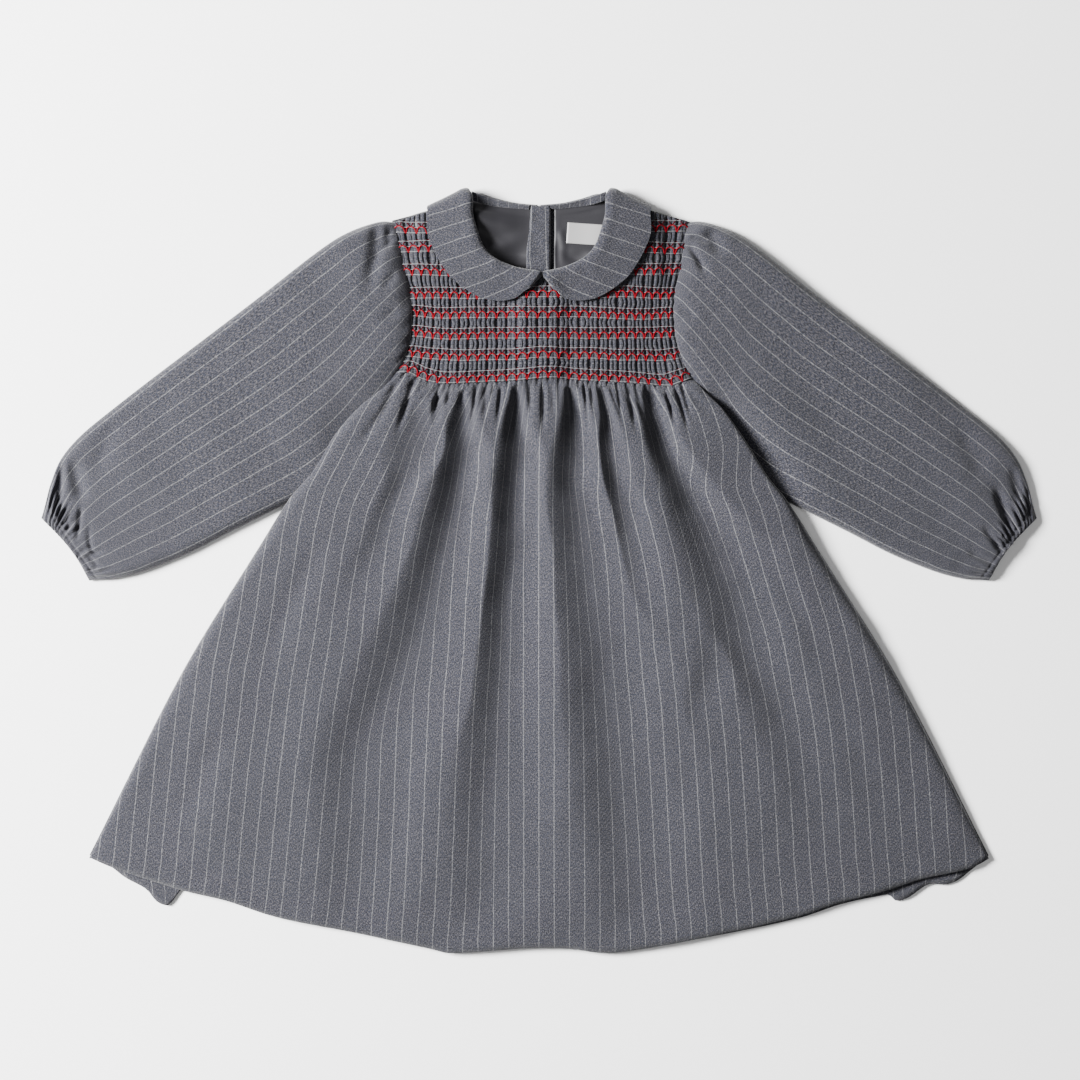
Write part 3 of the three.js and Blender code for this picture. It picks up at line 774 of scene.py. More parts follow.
class Smocking:
    """The pleated front yoke with its eight rows of embroidery."""

    def __init__(self, sizes: SmockingSizes, wardrobe: Wardrobe) -> None:
        """Keeps the sizes and the materials."""
        self.sizes = sizes
        self.wardrobe = wardrobe
        chance = np.random.default_rng(7)
        pairs = PLEATS // 2 + 2
        zones = len(BANDS) + 2
        self.lean = chance.uniform(-1, 1, (zones, pairs * 2))
        self.tall = chance.uniform(0.75, 1.12, (zones, pairs))
        self.offset = chance.uniform(-0.09, 0.09, pairs)

    def between_bands(self, s: np.ndarray, y: np.ndarray) -> tuple[np.ndarray, np.ndarray]:
        """Finds each point's zone and how far it is from the embroidery.

        Args:
            s: Share of the half width.
            y: Height.

        Returns:
            The zone's number, and 0 on a band up to 1 midway between two.
        """
        zone = np.zeros(s.shape, int)
        free = np.ones(s.shape)
        for index in range(len(BANDS) + 1):
            top = band_top(index, s)
            zone = np.where(y < top - BAND_WIDTH / 2, index + 1, zone)
            outside = np.maximum(y - top, top - BAND_WIDTH - y)
            free = np.minimum(free, smooth(-0.5, 3.2, outside))
        return zone, free

    def pleat(self, s: np.ndarray, y: np.ndarray) -> tuple[np.ndarray, np.ndarray]:
        """Gives the pleats' height, and how far each point leans sideways.

        Args:
            s: Share of the half width, -1 to 1.
            y: Height on the dress.

        Returns:
            Height above the valleys, and the shift across.
        """
        sizes = self.sizes
        zone, free = self.between_bands(s, y)
        phase = reed(pleat_share(s, y))
        pair = np.clip((phase / 2).astype(int), 0, PLEATS // 2)
        single = np.clip(phase.astype(int), 0, self.lean.shape[1] - 1)
        inside = phase / 2 - pair
        inside = inside + self.offset[pair] * np.sin(math.pi * inside) * free
        from_middle = np.abs(2 * inside - 1)
        crown = rounded(np.clip(1 - from_middle - sizes.gap, 0, 1), sizes.crown_rounding)
        depth = mix(sizes.groove_at_band, sizes.groove_between, free)
        groove = 1 - depth * np.exp(-((from_middle / sizes.groove_width) ** 2))
        growth = np.where(zone > len(BANDS), -sizes.fall_to_skirt, 1.0) * free
        crest = mix(sizes.height_at_band, sizes.height, growth)
        high = crest * crown * groove * mix(1.0, self.tall[zone, pair], free)
        lean = 0.5 * self.lean[zone, single] + 0.6 * self.lean[zone, 2 * pair % PLEATS]
        return high, sizes.sway * free * lean

    def seat(self, s: np.ndarray, x: np.ndarray, y: np.ndarray) -> np.ndarray:
        """Gives the height of the valleys between the pleats."""
        sizes = self.sizes
        middle = 1 - smooth(0.5, 0.95, np.abs(s))
        seam = 1 - smooth(0.0, 0.05, 1 - np.abs(s))
        layers = mix(sizes.seat_side, sizes.seat_middle, middle)
        return back_lift(x, y) + layers + sizes.bulge * (1 - s**2) - sizes.seam_dip * seam

    def surface(self, s: np.ndarray, y: np.ndarray) -> tuple[np.ndarray, np.ndarray]:
        """Gives the place across and the height of the cloth's face."""
        high, shift = self.pleat(s, y)
        ends = 1 - smooth(0.985, 1.0, np.abs(s))
        x = body_x(s, y) + shift * ends
        unevenness = 0.35 * waviness(x, y, 30.0, 3)
        return x, self.seat(s, x, y) + high * mix(0.35, 1.0, ends) + unevenness

    @staticmethod
    def top(s: np.ndarray) -> np.ndarray:
        """Gives the yoke's upper edge: the neckline in the middle, the shoulder seams beside it."""
        y = np.full(s.shape, SHOULDER_Y)
        for _ in range(12):
            half = np.abs(s) * SIDE_HALF(y)
            y = np.where(half < NECK_HALF, NECKLINE(np.minimum(half, NECK_HALF)), shoulder(half))
        return y

    def build(self) -> None:
        """Makes the cloth and its embroidery."""
        sizes = self.sizes
        cloth = Cloth("front_smocking", sizes.columns, sizes.rows)
        s = cloth.across * 2 - 1
        bottom = YOKE_END(s * YOKE_HALF) - sizes.tuck
        y = mix(self.top(s), bottom, cloth.down)
        x, z = self.surface(s, y)
        hidden_stripes = 5.5 + 3.2 * np.sin(math.pi * reed(pleat_share(s, y)))
        cloth.shape(x, y, z, hidden_stripes, 1.04 * (SEAM_Y - y))
        cloth.thicken(sizes.thickness)
        dressed(cloth.piece, self.wardrobe.wool, "wool", "front_panel")
        self.embroider()

    def line(
        self, index: int, drop: Callable[[np.ndarray], np.ndarray], stitch: Stitch
    ) -> list[np.ndarray]:
        """Lays one thread of a band over the pleats.

        Args:
            index: The band.
            drop: Distance below the band's top line, as a function of the pleat phase.
            stitch: How far the thread follows the pleats down into the gaps (0 to 1), its height above the
                cloth and its steps for each pleat.

        Returns:
            The thread's points, in two parts where the neck opening lies between them.
        """
        sizes = self.sizes
        share = np.linspace(-sizes.end_share, sizes.end_share, PLEATS * stitch.steps + 1)
        below = drop(reed(share))
        s = share
        for _ in range(4):
            y = band_top(index, s) - below
            s = body_share(share, y)
        x, z = self.surface(s, y)
        crest = self.seat(s, x, y) + sizes.height_at_band
        z = mix(np.maximum(crest, z), z, stitch.sink) + stitch.lift
        points = np.stack([x, y, z], axis=-1)
        shown = y < self.top(s) - sizes.neck_margin
        runs = []
        for side in (s < 0, s >= 0):
            run = points[shown & side]
            if len(run) > 2:
                runs.append(run)
        if len(runs) == 2 and shown.all():
            runs = [points]
        return runs

    def embroider(self) -> None:
        """Makes the white lines, the red arches and the red ties above them; the ties' darker red is painted
        shade.
        """
        sizes, wardrobe = self.sizes, self.wardrobe
        white, arches, ties = [], [], []
        for index in range(len(BANDS) + 1):
            for distance in (0.0, MIDDLE_LINE, BAND_WIDTH):
                white += self.line(index, partial(np.full_like, fill_value=distance), WHITE_STITCH)
            arches += self.line(index, arch_drop, ARCH_STITCH)
            ties += self.line(index, tie_drop, TIE_STITCH)
        threads = (
            ("embroidery_white", white, sizes.white_radius, wardrobe.white, "thread_white"),
            ("embroidery_red", arches, sizes.red_radius, wardrobe.red, "thread_red"),
            # The ties are the same red thread as the arches, with painted shade in their darker colour.
            ("embroidery_red_deep", ties, sizes.tie_radius, wardrobe.deep_red, "thread_red"),
        )
        for name, paths, radius, material, slot in threads:
            dressed(thread(name, paths, radius), material, slot)


# The skirt


# Each valley between two rolls, as rows of height, left crest, foot on the right and depth
VALLEYS = (
    (
        (124.9, -103, -88.6, 1.5), (109.1, -105.8, -82.8, 4), (87.5, -114.5, -82.3, 5),
        (65.9, -113, -93.1, 4.5), (44.3, -121.7, -102.2, 3.5), (15.5, -134.6, -110.1, 3),
        (-20.5, -156.2, -130.5, 1), (-49.3, -172.1, -144.9, 0),
    ),
    (
        (124.9, -77.8, -72.7, 2.5), (114.1, -78.8, -72.7, 3.5), (101.9, -82.4, -76.3, 3),
        (90.4, -85.7, -77.2, 1.6), (78.8, -87.8, -79.4, 0),
    ),
    (
        (130, -57.6, -54.7, 1.6), (122.8, -59.8, -54.7, 3.4), (114.1, -64.8, -52.6, 5.5),
        (101.9, -69.8, -52.6, 8), (87.5, -73.4, -49.2, 9.5), (65.9, -78.5, -52.8, 10),
        (44.3, -85, -54.6, 10.5), (15.5, -96.5, -61.1, 10.5), (-20.5, -111.6, -70, 10),
        (-56.5, -130.3, -81.5, 9), (-92.5, -151.9, -95.9, 8), (-128.5, -170.6, -114.6, 7),
        (-164.5, -167.8, -117.5, 5), (-200.5, -163.4, -119.1, 3.6), (-236.5, -160.6, -120.6, 2.4),
    ),
    (
        (133.6, -20.2, -15.8, 2.4), (124.2, -22.3, -15.1, 5), (113.4, -25.9, -14.4, 7.5),
        (101.9, -28.8, -13.7, 9), (87.5, -32.4, -10.3, 9.5), (65.9, -35.3, -12.4, 10),
        (44.3, -38.2, -12.9, 10), (15.5, -42.5, -11.4, 10.5), (-20.5, -48.2, -16, 10.5),
        (-56.5, -52.6, -16.7, 9.5), (-92.5, -55.4, -19.6, 8.5), (-128.5, -62.6, -21, 7.5),
        (-164.5, -67, -23.9, 6.5), (-200.5, -68.4, -27, 5), (-236.5, -68.4, -29.8, 3.4),
    ),
    (
        (132.1, 15.8, 22.3, 3.4), (122.8, 15.1, 25.2, 6.5), (112, 13.7, 28.1, 8.5),
        (87.5, 7.2, 30.8, 9.5), (65.9, 4.3, 30, 9.5), (44.3, 2.2, 35.4, 9.5), (15.5, 0.7, 39.7, 9),
        (-20.5, 3.6, 45.2, 8.5), (-56.5, 7.9, 55.3, 8.5), (-92.5, 12.2, 59.6, 8.5),
        (-128.5, 16.6, 65.4, 8), (-164.5, 20.9, 71.1, 7), (-200.5, 28.1, 76.7, 5.2),
        (-236.5, 32.4, 79.6, 3.4),
    ),
    (
        (132.1, 39.6, 44.7, 2.5), (109.1, 42.5, 50.5, 5), (87.5, 38.2, 53.8, 6.5),
        (65.9, 42.5, 57.4, 6.5), (44.3, 43.2, 64.2, 6.5), (15.5, 44.6, 69.2, 5.5), (-20.5, 48.2, 74, 3.4),
        (-56.5, 55.4, 82.6, 1.5), (-92.5, 58.3, 85.5, 0),
    ),
    (
        (133.6, 72.7, 79.2, 4), (123.5, 71.3, 82.1, 7), (110.5, 71.3, 85.7, 9), (87.5, 74.9, 94.1, 10),
        (65.9, 81.4, 106.4, 10), (44.3, 87.1, 118.2, 10), (15.5, 92.9, 134.7, 9.5),
        (-20.5, 107.3, 150.3, 8), (-56.5, 123.1, 156.1, 6), (-92.5, 141.8, 174.1, 4.5),
        (-128.5, 157.7, 187.8, 2.2), (-164.5, 169.9, 197.1, 0.8),
    ),
    (
        (-42.1, 108.7, 130.2, 0), (-60.1, 108.7, 130.2, 1.8), (-92.5, 100.1, 120.1, 2.2),
        (-121.3, 101.5, 121.5, 0),
    ),
)

# Narrow slits that open where the gathers leave the smocking: place across, length, depth
SLITS = (
    (-85.7, 26, 3.6), (-67.7, 20, 3.2), (-60.5, 14, 2.0), (-41.8, 24, 3.4), (-34.6, 18, 2.6),
    (-26.0, 22, 3.0), (-5.8, 20, 3.2), (2.2, 26, 3.4), (9.5, 16, 2.2), (30.2, 24, 3.4), (35.5, 14, 2.0),
    (52.5, 18, 2.4), (59.0, 26, 3.6), (66.5, 18, 2.6), (84.5, 20, 2.8), (90.7, 26, 3.4), (97.0, 18, 2.6),
)

# Small dents beside the seams and along the rolls
DENTS = creased(
    (-101, 140, -107, 124, -118, 104, 2.2, 2.8), (-112, 116, -119, 104, -130, 90, 1.6, 3.6),
    (93, 122, 96, 112, 98.5, 102, 2.2, 1.8), (60, 100, 66, 70, 74, 30, 1.4, 5),
    (-2, 96, -1, 60, -4, 10, 1.2, 4), (-150, 30, -176, -20, -200, -80, 1.3, 9),
    (150, 40, 178, -10, 205, -70, 1.6, 9), (95, -60, 104, -120, 118, -190, 1.3, 12),
    (-90, -120, -100, -170, -112, -230, 1.2, 12), (200, -90, 226, -130, 250, -180, 1, 12),
    (-225, -110, -243, -150, -262, -200, 0.9, 10), (5, -120, 0, -180, 8, -250, 0.9, 13),
)

# Above this height the stripes follow the gathers straight up to the smocking
SKIRT_SPREAD_FROM = 100.0


@dataclass(frozen=True)
class SkirtSizes:
    """Driving sizes of the skirt's front."""

    columns: int = 352
    rows: int = 124
    thickness: float = 1.2
    tuck: float = 0.4
    edge_height: float = 2.4
    edge_radius: float = 9.0
    edge_radius_over_sleeve: float = 4.0
    edge_lift_left: float = 2.2
    edge_lift_right: float = 6.5
    steep: float = 2.2
    gather_height: float = 1.7
    crease_strength: float = 0.78
    below_smocking: float = 0.35
    least_height: float = 2.4
    press: float = 0.6
    cut_half_top: float = 190.0
    cut_half_more: float = 135.0


@dataclass
class Skirt:
    """The flared front of the skirt, in rounded rolls that open out towards the hem."""

    sizes: SkirtSizes
    smocking: Smocking
    wardrobe: Wardrobe

    crown = Profile((0, 0.04, 0.1, 0.2, 0.35, 0.6, 0.85, 1), (8.4, 10.4, 13.4, 14.6, 14.0, 11.0, 7.6, 5.4))

    def valleys(self, x: np.ndarray, y: np.ndarray) -> tuple[np.ndarray, np.ndarray]:
        """Gives how deep the rolls part at each point, and how much of that lies under a roll's edge."""
        deepest = np.zeros_like(x)
        tucked = np.zeros_like(x)
        for rows in VALLEYS:
            at, crests, feet, depths = zip(*rows)
            crest = Profile(at, crests)(y)
            foot = Profile(at, feet)(y)
            width = foot - crest
            depth = Profile(at, depths)(y)
            inside = (y < max(at)) * smooth(min(at) - 30, min(at), y)
            left = smooth(0.0, 0.88, (x - crest) / width)
            climb = self.sizes.steep + width * mix(0.62, 1.0, smooth(100, -40, y))
            right = 1 - smooth(-0.04, 1.0, (x - foot) / climb)
            deepest = np.maximum(deepest, depth * left * right * inside)
            tucked = np.maximum(tucked, depth * left * (1 - smooth(-0.2, 0.1, (x - foot) / width)) * inside)
        return deepest, tucked

    def gathers(self, s: np.ndarray, y: np.ndarray, top: np.ndarray) -> np.ndarray:
        """Gives the small gathers that run out of the smocking's pleats and fade."""
        chance = np.random.default_rng(11)
        phase = reed(pleat_share(s, np.full_like(s, SKIRT_TOP_Y))) / 2
        pair = np.clip(phase.astype(int), 0, PLEATS // 2 - 1)
        length = chance.uniform(14, 44, PLEATS // 2)[pair]
        strength = chance.uniform(0.2, 1.2, PLEATS // 2)[pair]
        below = top - y
        fade = 1 - smooth(0.0, 1.0, below / length)
        arch = 0.5 - 0.5 * np.cos(2 * math.pi * phase)
        return self.sizes.gather_height * strength * fade * (arch - 0.5)

    def creases(self) -> list[Crease]:
        """Gives the slits under the smocking and the small dents."""
        chance = np.random.default_rng(5)
        slits = []
        for x, length, depth in SLITS:
            fan = 1 + 0.0075 * length
            bend = chance.uniform(-0.8, 0.8)
            half = chance.uniform(1.3, 2.1)
            middle = (x * (1 + fan) / 2 + bend, 137 - 0.45 * length)
            end = (x * fan, 128.0 - 1.25 * length)
            slits.append(Crease((x, 150.0), middle, end, self.sizes.crease_strength * depth, half))
        return slits + list(DENTS)

    @staticmethod
    def spread(x: np.ndarray, y: np.ndarray, tucked: np.ndarray, cut_half: np.ndarray) -> np.ndarray:
        """Shares out the cut's width along each row: plain on the rolls, and the surplus in the valleys.

        Args:
            x: Place of each point across.
            y: Height of each point on the dress.
            tucked: How far each point is tucked under a roll or into a slit.
            cut_half: Half of the cut's width at each row.

        Returns:
            Distance across the cloth from its middle.
        """
        step = np.diff(x, axis=1)
        hidden = np.clip(tucked / 5.0, 0.02, 1.6)
        hidden = (hidden[:, 1:] + hidden[:, :-1]) / 2
        steady = int(np.searchsorted(-y[:, 0], -SKIRT_SPREAD_FROM))
        hidden[:steady] = hidden[steady]
        hidden = hidden * step
        surplus = 2 * cut_half[:, :1] - step.sum(axis=1, keepdims=True)
        extra = np.clip(surplus / hidden.sum(axis=1, keepdims=True), 0.0, 2.2)
        travel = np.cumsum(step + extra * hidden, axis=1)
        travel = np.concatenate([np.zeros((len(x), 1)), travel], axis=1)
        middle = x.shape[1] // 2
        return travel - travel[:, middle : middle + 1]

    def build(self) -> None:
        """Makes the skirt's front."""
        sizes = self.sizes
        cloth = Cloth("front_skirt", sizes.columns, sizes.rows)
        s = cloth.across * 2 - 1
        t = cloth.down**1.45
        top = YOKE_END(s * YOKE_HALF) + sizes.tuck
        side_y = mix(SKIRT_TOP_Y, HEM_Y, t)
        x = body_x(s, side_y)
        y = mix(top, FRONT_HEM(s * HEM_HALF), t)
        edge = np.minimum((1 - np.abs(s)) * SIDE_HALF(side_y), 60.0)
        over_sleeve = smooth(20, 60, y) * (1 - smooth(136, 150, y))
        edge_lift = np.where(s > 0, sizes.edge_lift_right, sizes.edge_lift_left)
        low_edge = sizes.edge_height + edge_lift * over_sleeve
        crown = self.crown(t) * mix(1.0, 0.8, np.abs(s) ** 4)
        rise = rounded(edge, mix(sizes.edge_radius, sizes.edge_radius_over_sleeve, over_sleeve * (s > 0)))
        z = mix(low_edge, np.maximum(crown, low_edge + 1.0), rise)
        valleys, tucked = self.valleys(x, y)
        creases = pressed(x, y, self.creases())
        z = z - (valleys + creases) * np.minimum(1.0, rise * 1.4)
        z += self.gathers(s, y, top) * rise
        z += 0.5 * waviness(x, y, 75.0, 21) * smooth(0.03, 0.2, t) * rise
        z += 0.16 * waviness(x, y, 22.0, 22) * smooth(0.03, 0.2, t)
        _, joined = self.smocking.surface(s, y)
        z = mix(joined - sizes.below_smocking, z, smooth(0.0, 0.022, t))
        floor = sizes.least_height + back_lift(x, y)
        z = floor + np.logaddexp(0.0, (z - floor) / sizes.press) * sizes.press
        u = self.spread(x, y, tucked + 0.6 * creases, sizes.cut_half_top + sizes.cut_half_more * t)
        cloth.shape(x, y, z, u, SEAM_Y - y)
        cloth.thicken(sizes.thickness)
        dressed(cloth.piece, self.wardrobe.wool, "wool", "front_panel")


@dataclass(frozen=True)
class BackSkirtSizes:
    """Driving sizes of the skirt's back."""

    columns: int = 240
    rows: int = 90
    thickness: float = 1.2
    top_y: float = 140.3
    flap_x: float = 278.0
    flap_width: float = 24.0
    flap_height: float = 0.9
    flap_slant: float = 18.0


@dataclass
class BackSkirt:
    """The skirt's back, which shows as two folded corners below the front hem."""

    sizes: BackSkirtSizes
    wardrobe: Wardrobe

    drop = Profile(
        (-323.5, -309, -298, -282, -276, -271, -266, -256, -240, -215, -190, 183, 251, 256, 261, 267, 280,
         292, 301, 311, 323.5),
        (-2, 0, 4.5, 8, 13.5, 15, 13.5, -1, -4, -4, -4, 2, 3.5, 9.5, 11, 10.5, 5.5, 8, 7, 2, -2),
    )

    def build(self) -> None:
        """Makes the skirt's back, flat on the surface."""
        sizes = self.sizes
        cloth = Cloth("back_skirt", sizes.columns, sizes.rows)
        s = cloth.across * 2 - 1
        t = cloth.down
        side_y = mix(sizes.top_y, HEM_Y, t)
        x = SIDE_SHIFT(side_y) + s * (SIDE_HALF(side_y) - 1.0 * (1 - t))
        hem = FRONT_HEM(s * HEM_HALF) - self.drop(s * HEM_HALF)
        y = mix(sizes.top_y, hem, t)
        from_flap = (np.abs(s * HEM_HALF) - sizes.flap_x) / sizes.flap_width
        flap = np.exp(-(from_flap**2)) * smooth(0.86, 1.0, t)
        z = sizes.thickness + back_lift(x, y) + sizes.flap_height * flap
        u = s * (150 + 175 * t) + sizes.flap_slant * flap * np.sign(s)
        cloth.shape(x, y, z, u, SEAM_Y - y + 10 * flap)
        cloth.thicken(sizes.thickness)
        dressed(cloth.piece, self.wardrobe.wool, "wool", "back_skirt")


# The sleeves


class SleeveRow(NamedTuple):
    """A cross-line of a sleeve, from its upper edge to its lower edge, seen from above."""

    up_x: float
    up_y: float
    low_x: float
    low_y: float


SLEEVE_ROWS = (
    SleeveRow(107.6, 251.0, 129.6, 118.5),
    SleeveRow(119.0, 251.5, 129.5, 108.0),
    SleeveRow(140.0, 243.5, 132.0, 94.0),
    SleeveRow(162.0, 228.5, 142.0, 77.0),
    SleeveRow(200.0, 198.5, 161.0, 60.0),
    SleeveRow(240.0, 168.0, 190.0, 44.5),
    SleeveRow(277.0, 140.0, 223.0, 28.0),
    SleeveRow(306.0, 117.5, 250.0, 14.0),
    SleeveRow(329.0, 98.5, 271.0, 5.0),
    SleeveRow(343.5, 81.5, 289.0, -1.5),
    SleeveRow(351.0, 64.0, 305.0, -5.3),
    SleeveRow(354.5, 51.0, 315.0, -6.0),
    SleeveRow(356.5, 43.5, 320.0, -6.3),
    SleeveRow(358.0, 38.7, 323.3, -6.6),
)

SLEEVE_CREASES = {
    Side.LEFT: creased(
        (-100, 243, -110.9, 233.2, -120, 220, 1.3, 1.7), (-104, 246, -110, 240, -117, 232, 1, 1.6),
        (-118, 254, -117.5, 232, -124.6, 190, 2.4, 4.4), (-109, 250, -108.5, 240, -109, 226, 1.2, 2.6),
        (-101, 214, -107, 209, -112, 200, 1.5, 2.2), (-100, 186, -106, 184, -114, 180, 1.2, 2.4),
        (-343, 84, -344.2, 62.6, -345.6, 42, 3.2, 3), (-336, 82, -331, 64, -326.6, 46, 2.4, 5),
        (-328, 49, -330, 35, -332.4, 20, 1.8, 1.6), (-321.5, 40, -320.8, 15.5, -308.9, 19.8, 1.2, 1.5),
        (-337, 38, -338, 33, -339, 27, 1, 1.5), (-324, 8.5, -320, 8, -315.5, 2, 1, 1.6),
        (-325, 0, -320, 1, -316, 2.2, 0.9, 1.4), (-300, 112, -312, 88, -316, 62, 1.2, 7),
    ),
    Side.RIGHT: creased(
        (118, 140, 157, 92, 199, 36, 3.8, 9), (107, 240.2, 115, 238.3, 122, 236, 2, 1.6),
        (106, 236, 113.8, 224.3, 121, 210, 2.6, 2.2), (119, 247, 126, 236, 132, 224, 2.2, 5),
        (99, 188, 106, 186, 113, 181, 1.3, 2.4), (326, 64, 334, 43, 341.5, 22, 2.8, 3.4),
        (350.4, 62, 351.4, 48, 352.4, 34, 1.8, 2), (317, 34, 326, 23, 334, 11, 1.6, 2.2),
        (306, 15, 318, 9.5, 329, 4.6, 1.3, 1.8), (338, 78, 343, 62, 345, 46, 1.6, 4),
        (296, 106, 312, 84, 318, 60, 1.1, 7),
    ),
}


@dataclass(frozen=True)
class SleeveSizes:
    """Driving sizes of a sleeve."""

    around: int = 168
    along: int = 150
    cut_width: float = 118.0
    length: float = 330.0
    thickness: float = 1.1
    fold_radius: float = 8.0
    fold_radius_below: float = 3.0
    mid_height: float = 1.7
    least_rise: float = 1.5
    crease_strength: float = 1.5
    casing: float = 5.2
    gathers: float = 17.0
    cap_hollow: float = 24.0
    under_yoke: float = 2.2


class Sleeve:
    """One long sleeve, a flattened tube whose cap and cuff are gathered a little."""

    crown = Profile(
        (0, 0.03, 0.07, 0.13, 0.25, 0.45, 0.65, 0.8, 0.9, 0.97, 1),
        (4.6, 7.0, 9.6, 10.6, 9.6, 8.4, 7.8, 7.0, 6.2, 5.4, 5.0),
    )

    def __init__(self, side: Side, sizes: SleeveSizes, wardrobe: Wardrobe) -> None:
        """Keeps the sleeve's side, its sizes and the materials."""
        self.side = side
        self.sizes = sizes
        self.wardrobe = wardrobe
        place = [i / (len(SLEEVE_ROWS) - 1) for i in range(len(SLEEVE_ROWS))]
        self.edges = [Profile(place, [row[part] for row in SLEEVE_ROWS]) for part in range(4)]

    def plan(self, v: np.ndarray, w: np.ndarray) -> tuple[np.ndarray, np.ndarray]:
        """Gives the place from above of a point v along the sleeve and w across it."""
        up_x, up_y, low_x, low_y = (edge(v) for edge in self.edges)
        start_x, start_y, end_x, end_y = (edge(0.0) for edge in self.edges)
        armhole = SIDE_HALF(mix(start_y, end_y, w)) - self.sizes.under_yoke
        bow = armhole - mix(start_x, end_x, w)
        x = mix(up_x, low_x, w) + bow * (1 - smooth(0, 0.22, v))
        y = mix(up_y, low_y, w)
        cuff_hollow = 4.0 * np.sin(math.pi * w) * smooth(0.9, 1.0, v)
        sign = self.side.value
        shift = np.where(v < 0.3, SIDE_SHIFT(y) * (1 - smooth(0.05, 0.3, v)), 0.0)
        return sign * (x - cuff_hollow) + shift, y

    def face(
        self, v: np.ndarray, w: np.ndarray, x: np.ndarray, y: np.ndarray, round_edge: np.ndarray
    ) -> np.ndarray:
        """Gives the height of the sleeve's upper face.

        Args:
            v: Share along the sleeve, from the cap to the cuff.
            w: Share across it.
            x: Place of each point across the dress.
            y: Height of each point on the dress.
            round_edge: Rise from the sleeve's edges, 0 to 1.

        Returns:
            The height at each point.
        """
        sizes = self.sizes
        side = self.side
        crown = self.crown(v) * (1 - 0.5 * smooth(0.62, 0.95, w) * (1 - smooth(0.16, 0.4, v)))
        crown = crown * (1 + 0.1 * np.sin(math.pi * w))
        middle_x, middle_y = self.plan(v, np.full_like(v, 0.5))
        end_x, end_y = self.plan(np.ones_like(v), np.full_like(v, 0.5))
        along_from_end = np.hypot(middle_x - end_x, middle_y - end_y)
        cuff = (1 - smooth(sizes.casing, sizes.casing + 26, along_from_end)) ** 1.5
        wobble = 0.3 * waviness(w * 60, along_from_end * 0.4, 14.0, 31 + side.value)
        uneven = 0.6 + 0.5 * waviness(w * 60, 0 * v, 17.0, 33 + side.value)
        gather = np.cos(2 * math.pi * (w * sizes.gathers + wobble)) * uneven
        casing = 1 - smooth(sizes.casing - 1.0, sizes.casing + 1.5, along_from_end)
        stitch = np.exp(-(((along_from_end - sizes.casing) / 0.9) ** 2))
        pucker = np.exp(-(((along_from_end - sizes.casing - 4.0) / 4.5) ** 2))
        top = crown + gather * (0.8 * casing + (1.4 * cuff + 1.1 * pucker) * (1 - casing))
        top -= 0.7 * stitch
        cap = 1 - smooth(0.02, 0.085, v)
        top += 0.7 * cap * np.cos(2 * math.pi * (w * 9.0 + 0.4 * np.sin(9 * w)))
        top -= sizes.crease_strength * pressed(x, y, SLEEVE_CREASES[side]) * round_edge
        top += 0.8 * waviness(x, y, 60.0, 24 + side.value) * smooth(0.05, 0.2, v)
        top += 0.14 * waviness(x, y, 18.0, 27 + side.value)
        return np.maximum(top, sizes.mid_height + sizes.least_rise)

    def build(self) -> None:
        """Makes the sleeve."""
        sizes = self.sizes
        name = self.side.name.lower()
        cloth = Cloth(f"sleeve_{name}", sizes.around, sizes.along)
        v = 1.15 * cloth.down - 0.15 * cloth.down**3
        v = v / v.max()
        turn = cloth.across if self.side is Side.LEFT else 1 - cloth.across
        upper = turn <= 0.5
        part = np.where(upper, 2 * turn, 2 * (1 - turn))
        w = mix(part, (1 - np.cos(math.pi * part)) / 2, 0.8)
        x, y = self.plan(v, w)
        up_x, up_y, low_x, low_y = (edge(v) for edge in self.edges)
        edge = np.minimum(w, 1 - w) * np.hypot(up_x - low_x, up_y - low_y)
        round_edge = rounded(edge, sizes.fold_radius)
        z_upper = mix(sizes.mid_height, self.face(v, w, x, y, round_edge), round_edge)
        z_lower = mix(sizes.mid_height, sizes.thickness, rounded(edge, sizes.fold_radius_below))
        z = np.where(upper, z_upper, z_lower)
        hollow = np.sin(math.pi * w) ** 0.8 * (1 - smooth(0, 0.22, v))
        u = (w - 0.5) * sizes.cut_width + sizes.cap_hollow * hollow
        u = np.where(upper, u, sizes.cut_width - u)
        cloth.shape(x, y, z, u, v * sizes.length)
        cloth.close_round()
        cloth.thicken(sizes.thickness)
        dressed(cloth.piece, self.wardrobe.wool, "wool", f"sleeve_{name}")


# The collar


class CollarRow(NamedTuple):
    """A line across a leaf from the neck seam to its outer edge; turn is how far it has rolled over."""

    in_x: float
    in_y: float
    out_x: float
    out_y: float
    turn: float


COLLAR_ROWS = (
    CollarRow(0.9, 213.4, 1.3, 212.0, 0),
    CollarRow(1.3, 213.7, 5.8, 207.4, 0),
    CollarRow(1.9, 213.9, 10.8, 201.4, 0),
    CollarRow(4.0, 214.4, 18.7, 195.9, 0),
    CollarRow(8.6, 215.0, 29.5, 194.2, 0),
    CollarRow(17.3, 217.0, 41.8, 196.7, 0),
    CollarRow(27.4, 221.0, 53.6, 203.4, 0),
    CollarRow(35.6, 226.4, 63.4, 211.3, 0),
    CollarRow(41.4, 234.0, 70.2, 221.0, 0),
    CollarRow(45.4, 245.2, 75.6, 231.1, 0),
    CollarRow(48.2, 256.0, 79.9, 243.0, 0),
    CollarRow(50.8, 273.5, 81.4, 260.5, 0),
    CollarRow(50.8, 273.5, 80.4, 260.9, 45),
    CollarRow(50.8, 273.5, 78.9, 261.6, 90),
    CollarRow(50.8, 273.5, 78.0, 262.0, 135),
    CollarRow(50.8, 273.5, 77.6, 262.1, 180),
    CollarRow(42.0, 270.4, 74.0, 240.0, 180),
    CollarRow(30.2, 267.0, 59.8, 227.2, 180),
    CollarRow(16.6, 264.0, 31.7, 221.4, 180),
    CollarRow(1.1, 262.6, 1.5, 220.3, 180),
)


